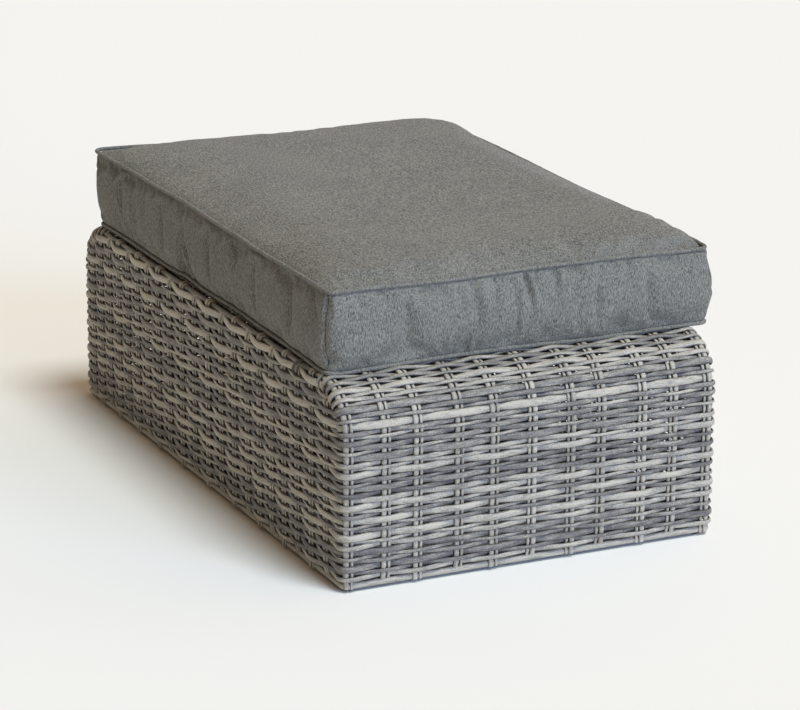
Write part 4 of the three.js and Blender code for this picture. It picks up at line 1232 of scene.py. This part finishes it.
# %% Shader group: heather
def heather():
    inputs = {
        "Dark": ("Color", (0.1, 0.1, 0.1, 1)),
        "Light": ("Color", (0.3, 0.3, 0.3, 1)),
        "Yarns per Metre": ("Float", 850.0),
    }
    outputs = {"Color": ("Color", None), "Height": ("Float", None)}
    tree, given, result = new_tree("Heather", "ShaderNodeTree", inputs, outputs)
    spot = step(tree, "ShaderNodeTexCoord").outputs["Object"]
    normal = step(tree, "ShaderNodeNewGeometry").outputs["Normal"]
    upward = calc(tree, "ABSOLUTE", step(tree, "ShaderNodeSeparateXYZ", {0: normal}).outputs["Z"])
    on_panel = remap(tree, upward, 0.55, 0.8)

    def flecks(stretch, coarseness):
        drawn = result_of(tree, "ShaderNodeMapping", {"Vector": spot, "Scale": stretch})
        return noise(tree, drawn, calc(tree, "MULTIPLY", given["Yarns per Metre"], coarseness), 3.0, 0.75)

    on_strip, across_panel = flecks((1.0, 1.0, 0.24), 1.0), flecks((0.85, 0.22, 1.0), 0.9)
    yarn = result_of(tree, "ShaderNodeMix", {0: on_panel, 2: on_strip, 3: across_panel}, data_type="FLOAT")
    bunch = flecks((1.0, 0.6, 0.5), 0.45)
    cloud = noise(tree, spot, 9.0, 3.0)
    tone = calc(tree, "MULTIPLY_ADD", bunch, 0.16, calc(tree, "MULTIPLY", yarn, 0.84))
    gain = calc(tree, "MULTIPLY_ADD", on_panel, 0.4, 4.8)
    shade = calc(tree, "MULTIPLY_ADD", calc(tree, "SUBTRACT", tone, 0.5), gain, 0.5)
    shade = calc(tree, "MULTIPLY_ADD", calc(tree, "SUBTRACT", cloud, 0.5), 0.3, shade)
    feed(tree, result["Color"], blend(tree, remap(tree, shade, 0.0, 1.0), given["Dark"], given["Light"]))
    feed(tree, result["Height"], tone)
    return tree


HEATHER = heather()


def cloth_material(name, dark, light):
    constants = {"Roughness": 0.95, "Specular IOR Level": 0.1, "Sheen Weight": 0.12, "Sheen Roughness": 0.5}
    return material_from(HEATHER, name, (0.25, 0.0006), constants, Dark=dark, Light=light)


CLOTH = cloth_material("heathered cloth", (0.070, 0.067, 0.058), (0.285, 0.274, 0.233))
cover.data.materials.clear()
cover.data.materials.append(CLOTH)
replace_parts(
    cover, "foam_core", "cover_top", "cover_bottom", *(f"boxing_{side}" for side in WALLS),
)

# %% [markdown]
# ## Cushion: the cords
# A strip of the same cloth, cut across its threads and folded round a thin cord, is caught between the
# panel and the strip. It is swept along the seam line, after rays cast at the cover have found where the
# strip ends at each point, so that no gap opens beside it.

# %% Piping cords
CORD_POINTS, PIPING_RADIUS = 520, 0.0031
DEEPEST, STAND_OFF, BESIDE_SEAM = -0.0012, 0.0019, 0.0015
RAY_START, RAY_LENGTH = 0.03, 0.06
cover_tree = BVHTree.FromPolygons(
    [vertex.co for vertex in cover.data.vertices], [tuple(face.vertices) for face in cover.data.polygons],
)


def cord_line(height, towards_strip):
    """Points round a seam, each moved in or out until it lies against the strip."""
    ring = seam_outline(height, CORD_POINTS)
    ahead = np.roll(ring, -1, axis=0) - np.roll(ring, 1, axis=0)
    sideways = np.stack([ahead[:, 1], -ahead[:, 0], np.zeros(len(ring))], 1)
    sideways /= np.linalg.norm(sideways, axis=1)[:, None]
    gaps = []
    for place, way in zip(ring, sideways):
        start_from = Vector(place + RAY_START * way) + Vector((0, 0, towards_strip))
        hit = cover_tree.ray_cast(start_from, Vector(-way), RAY_LENGTH)[0]
        gaps.append(float(np.dot(np.array(hit) - place, way)) if hit is not None else gaps[-1])
    gaps = np.array(gaps)
    gaps = 0.5 * gaps + 0.25 * (np.roll(gaps, 1) + np.roll(gaps, -1))
    print("cord at", round(height, 4), "beside the seam by", round(gaps.min(), 4), "to", round(gaps.max(), 4))
    return ring + sideways * (np.maximum(gaps, DEEPEST) + STAND_OFF)[:, None]


for name, height, towards_strip in (
    ("piping_top", TOP_SEAM, -BESIDE_SEAM), ("piping_bottom", BOTTOM_SEAM, BESIDE_SEAM),
):
    piping = cord(
        name + "_cord", cord_line(height, towards_strip), "cushion", "fabric",
        closed=True, Radius=PIPING_RADIUS, Sides=8, Material=CLOTH,
    )
    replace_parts(piping, name)

# %% [markdown]
# ## Cushion: corner seams and stitching
# The strip is four pieces of cloth joined at the corners, and the shade in each corner seam is painted as a
# thin dark cord along it. The zip is sewn in with two rows of stitches of real dark thread. A small tree sets
# short thread pieces along a line, one for each stitch, and turns them to follow it.

# %% Corner seams
# One dark material: painted shade along the corner seams, and the real thread of the zip stitches.
SEAM_SHADE_AND_THREAD = cloth_material("dark thread and painted seam shade", (0.030, 0.029, 0.027), (0.120, 0.116, 0.105))
SEAM_POINTS, SEAM_END_GAP, SEAM_SHADE_RADIUS = 24, 0.004, 0.0005


def line_on_cover(origins, way, length):
    """Where rays from these places meet the cover."""
    hits = [cover_tree.ray_cast(origin, way, length)[0] for origin in origins]
    return [hit for hit in hits if hit is not None]


for index, (side_x, side_y) in enumerate(CORNERS):
    way = Vector((side_x * math.cos(SEAM_TURN), side_y * math.sin(SEAM_TURN), 0))
    centre = cushion_middle + Vector((side_x * (HALF_X - SEAM_CORNER), side_y * (HALF_Y - SEAM_CORNER), 0))
    heights = np.linspace(BOTTOM_SEAM + SEAM_END_GAP, TOP_SEAM - SEAM_END_GAP, SEAM_POINTS)
    origins = [Vector((centre.x, centre.y, height)) + 0.08 * way for height in heights]
    cord(
        f"corner_seam_{index + 1}", line_on_cover(origins, -way, 0.12), "cushion", "fabric",
        Radius=SEAM_SHADE_RADIUS, Sides=6, Material=SEAM_SHADE_AND_THREAD,
    )

# %% Tree: stitches along a line
def stitches_along_line():
    inputs = {
        "Line": ("Geometry", None),
        "Spacing": ("Float", 0.0035),
        "Stitch Length": ("Float", 0.0026),
        "Thread": ("Float", 0.0004),
        "Material": ("Material", None),
    }
    tree, given, result = new_tree("Stitches along a line", "GeometryNodeTree", inputs, MESH_OUT)
    path = result_of(tree, "GeometryNodeMeshToCurve", {"Mesh": given["Line"]})
    evenly = {"Curve": path, "Length": given["Spacing"]}
    spots = step(tree, "GeometryNodeCurveToPoints", evenly, mode="LENGTH")
    stitch = result_of(tree, "GeometryNodeMeshUVSphere", {"Segments": 6, "Rings": 4, "Radius": 1.0})
    half_length = calc(tree, "MULTIPLY", given["Stitch Length"], 0.5)
    placed = result_of(
        tree, "GeometryNodeInstanceOnPoints",
        {
            "Points": spots.outputs["Points"],
            "Instance": stitch,
            "Rotation": spots.outputs["Rotation"],
            "Scale": vector(tree, given["Thread"], given["Thread"], half_length),
        },
    )
    end_in_faces(tree, result, placed, given["Material"])
    return tree


STITCHES = stitches_along_line()
STITCH_GAP, STITCH_OVERRUN, STITCH_POINTS = 0.0035, 0.002, 90
for index, height in enumerate((zip_low.z - STITCH_GAP, zip_high.z + STITCH_GAP)):
    along = np.linspace(zip_low.x - STITCH_OVERRUN, zip_high.x + STITCH_OVERRUN, STITCH_POINTS)
    origins = [Vector((x, cushion_high.y + 0.05, height)) for x in along]
    line = line_object("stitch_line", line_on_cover(origins, Vector((0, -1, 0)), 0.1))
    grow(line, STITCHES, f"zip_stitches_{index + 1}", "cushion", Material=SEAM_SHADE_AND_THREAD)

# %% [markdown]
# ## Finishes of the frame, the feet and the zip
# These solids stay as they are and only get a finish. The tube is powder coated: a dark skin with a faint
# orange peel and some dust. The feet are moulded plastic, speckled and unevenly rough. One group makes the
# speckle for all of them, and each material chooses its colours and its grain.

# %% Shader group: speckle
def speckle():
    inputs = {
        "Dark": ("Color", (0.02, 0.02, 0.02, 1)),
        "Light": ("Color", (0.08, 0.08, 0.08, 1)),
        "Grain per Metre": ("Float", 700.0),
        "Smooth": ("Float", 0.4),
        "Rough": ("Float", 0.6),
    }
    outputs = {"Color": ("Color", None), "Height": ("Float", None), "Roughness": ("Float", None)}
    tree, given, result = new_tree("Speckle", "ShaderNodeTree", inputs, outputs)
    spot = step(tree, "ShaderNodeTexCoord").outputs["Object"]
    fine = noise(tree, spot, given["Grain per Metre"], 2.0)
    cloud = noise(tree, spot, 16.0, 4.0)
    shade = calc(tree, "MULTIPLY_ADD", calc(tree, "SUBTRACT", fine, 0.5), 0.8, cloud)
    feed(tree, result["Color"], blend(tree, remap(tree, shade, 0.25, 0.75), given["Dark"], given["Light"]))
    feed(tree, result["Height"], fine)
    feed(tree, result["Roughness"], remap(tree, cloud, 0.0, 1.0, given["Smooth"], given["Rough"]))
    return tree


SPECKLE = speckle()


def speckled_material(name, dark, light, grain, smooth, rough, metal=0.0):
    return material_from(
        SPECKLE, name, (0.2, 0.0003), {"Metallic": metal},
        Dark=dark, Light=light, Grain_per_Metre=grain, Smooth=smooth, Rough=rough,
    )


COAT = speckled_material("powder coat", (0.030, 0.027, 0.024), (0.062, 0.056, 0.050), 900, 0.55, 0.75)
FOOT = speckled_material("moulded foot", (0.014, 0.014, 0.014), (0.045, 0.044, 0.042), 500, 0.45, 0.7)
ZIP_METAL = speckled_material(
    "dull nickel", (0.16, 0.155, 0.15), (0.34, 0.33, 0.32), 1500, 0.3, 0.5, metal=1.0,
)

# %% [markdown]
# ## Zip tape and teeth
# The tape is woven, and the teeth are small moulded hooks that close from both sides in turn. The solid has
# the chain's body, and the finish draws the single teeth on it along the zip, pale on a dark gap.

# %% Zip finish
TOOTH_PITCH, CHAIN_HALF, TOOTH_SHARE = 0.0024, 0.0030, 0.30
TAPE_COLOURS = ((0.035, 0.035, 0.034, 1), (0.085, 0.083, 0.080, 1))
CHAIN_COLOURS = ((0.010, 0.010, 0.010, 1), (0.11, 0.108, 0.104, 1))


def zip_material():
    made, tree, shader = finish_material("zip tape and teeth")
    spot = step(tree, "ShaderNodeTexCoord").outputs["Object"]
    place = step(tree, "ShaderNodeSeparateXYZ", {0: spot}).outputs
    up = calc(tree, "SUBTRACT", place["Z"], zip_middle)
    half_turn = calc(tree, "MULTIPLY", calc(tree, "GREATER_THAN", up, 0.0), 0.5)
    turn = calc(tree, "FRACT", calc(tree, "ADD", calc(tree, "DIVIDE", place["X"], TOOTH_PITCH), half_turn))
    from_tooth = calc(tree, "ABSOLUTE", calc(tree, "SUBTRACT", turn, 0.5))
    tooth = calc(tree, "LESS_THAN", from_tooth, TOOTH_SHARE)
    on_chain = calc(tree, "LESS_THAN", calc(tree, "ABSOLUTE", up), CHAIN_HALF)
    weave = noise(tree, spot, 1300.0, 2.0)
    tape, chain = blend(tree, weave, *TAPE_COLOURS), blend(tree, tooth, *CHAIN_COLOURS)
    relief = calc(tree, "MULTIPLY", calc(tree, "MULTIPLY", tooth, on_chain), 0.8)
    relief = calc(tree, "ADD", relief, calc(tree, "MULTIPLY", weave, 0.2))
    bump = result_of(tree, "ShaderNodeBump", {"Height": relief, "Strength": 0.6, "Distance": 0.0006})
    tree.links.new(blend(tree, on_chain, tape, chain), shader.inputs["Base Color"])
    tree.links.new(bump, shader.inputs["Normal"])
    shader.inputs["Roughness"].default_value = 0.7
    return made


ZIP = zip_material()

# %% Give the finishes
finished = {"coat": 0, "foot": 0, "zip": 0}
for name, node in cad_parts.items():
    if name.endswith("_glide"):
        finish, kind = FOOT, "foot"
    elif name == "zip_chain":
        finish, kind = ZIP, "zip"
    elif name in ("zip_slider", "zip_pull"):
        finish, kind = ZIP_METAL, "zip"
    elif name.endswith(("_post", "_elbow", "_rail", "_stretcher")) or name.startswith("deck_bearer"):
        finish, kind = COAT, "coat"
    else:
        continue
    for place in node.material_slots:
        place.material = finish
    finished[kind] += 1
print("finished", finished)

# %% [markdown]
# ## Light, floor and backdrop
# A plain studio. Far, broad lamps light the floor evenly, which keeps the paper one colour: a main light
# from above and in front, and a cool one low in front like a window. The sky is warmer and only lifts the
# shadows, so the long side, which both lamps miss, is browner than the short end. It is dim on the left, as
# if a dark wall stood there, and bright on the right, which shows the round of the cushion. Together they
# light the floor with a neutral strength of one, at which a colour is seen as it is written. To the camera
# and in reflections the sky has the colour of the lit paper.

# %% Light and floor
PAPER = (0.905, 0.896, 0.863)
FLOOR_REACH = 30
SKY_LIGHT, SKY_SLOPE = (0.400, 0.300, 0.208), 0.95


def paper_material():
    made = bpy.data.materials.new("paper floor")
    made.use_nodes = True
    tree = made.node_tree
    tree.nodes.clear()
    output = tree.nodes.new("ShaderNodeOutputMaterial")
    paint = result_of(tree, "ShaderNodeBsdfDiffuse", {"Color": (*PAPER, 1)})
    tree.links.new(paint, output.inputs["Surface"])
    return made


floor_mesh = bpy.data.meshes.new("floor")
floor_mesh.from_pydata([(FLOOR_REACH * x, FLOOR_REACH * y, 0) for x, y in CORNERS], [], [(0, 1, 2, 3)])
floor_mesh.materials.append(paper_material())
put_in_scene("floor", floor_mesh)

world = bpy.data.worlds.new("studio")
bpy.context.scene.world = world
world.use_nodes = True
sky_tree = world.node_tree
seen_way = step(sky_tree, "ShaderNodeTexCoord").outputs["Generated"]
to_right = step(sky_tree, "ShaderNodeSeparateXYZ", {0: seen_way}).outputs["X"]
slope = remap(sky_tree, to_right, -1.0, 1.0, 1 - SKY_SLOPE, 1 + SKY_SLOPE)
sky_light = step(sky_tree, "ShaderNodeVectorMath", {0: SKY_LIGHT, "Scale": slope}, operation="SCALE")
rays = step(sky_tree, "ShaderNodeLightPath").outputs
mirrored = calc(sky_tree, "MAXIMUM", rays["Is Glossy Ray"], rays["Is Transmission Ray"])
seen = calc(sky_tree, "MAXIMUM", rays["Is Camera Ray"], mirrored)
sky_colour = blend(sky_tree, seen, sky_light.outputs[0], (*PAPER, 1))
sky_tree.links.new(sky_colour, sky_tree.nodes["Background"].inputs["Color"])


def far_lamp(name, towards, strength, colour, spread_degrees):
    """A lamp so far away that its light is even. Strength 1 lights a white sheet facing it to full white."""
    data = bpy.data.lights.new(name, "SUN")
    data.energy, data.color, data.angle = math.pi * strength, colour, math.radians(spread_degrees)
    lamp = put_in_scene(name, data)
    lamp.rotation_euler = Vector(towards).to_track_quat("Z", "Y").to_euler()
    print("lamp", name, "at strength", strength)


far_lamp("main light", (0.16, -0.42, 1.0), 0.66, (0.890, 0.977, 0.990), 20)
far_lamp("window", (0.35, -1.0, 0.25), 0.87, (0.350, 0.575, 1.0), 40)
bpy.context.scene.view_settings.view_transform = "Standard"
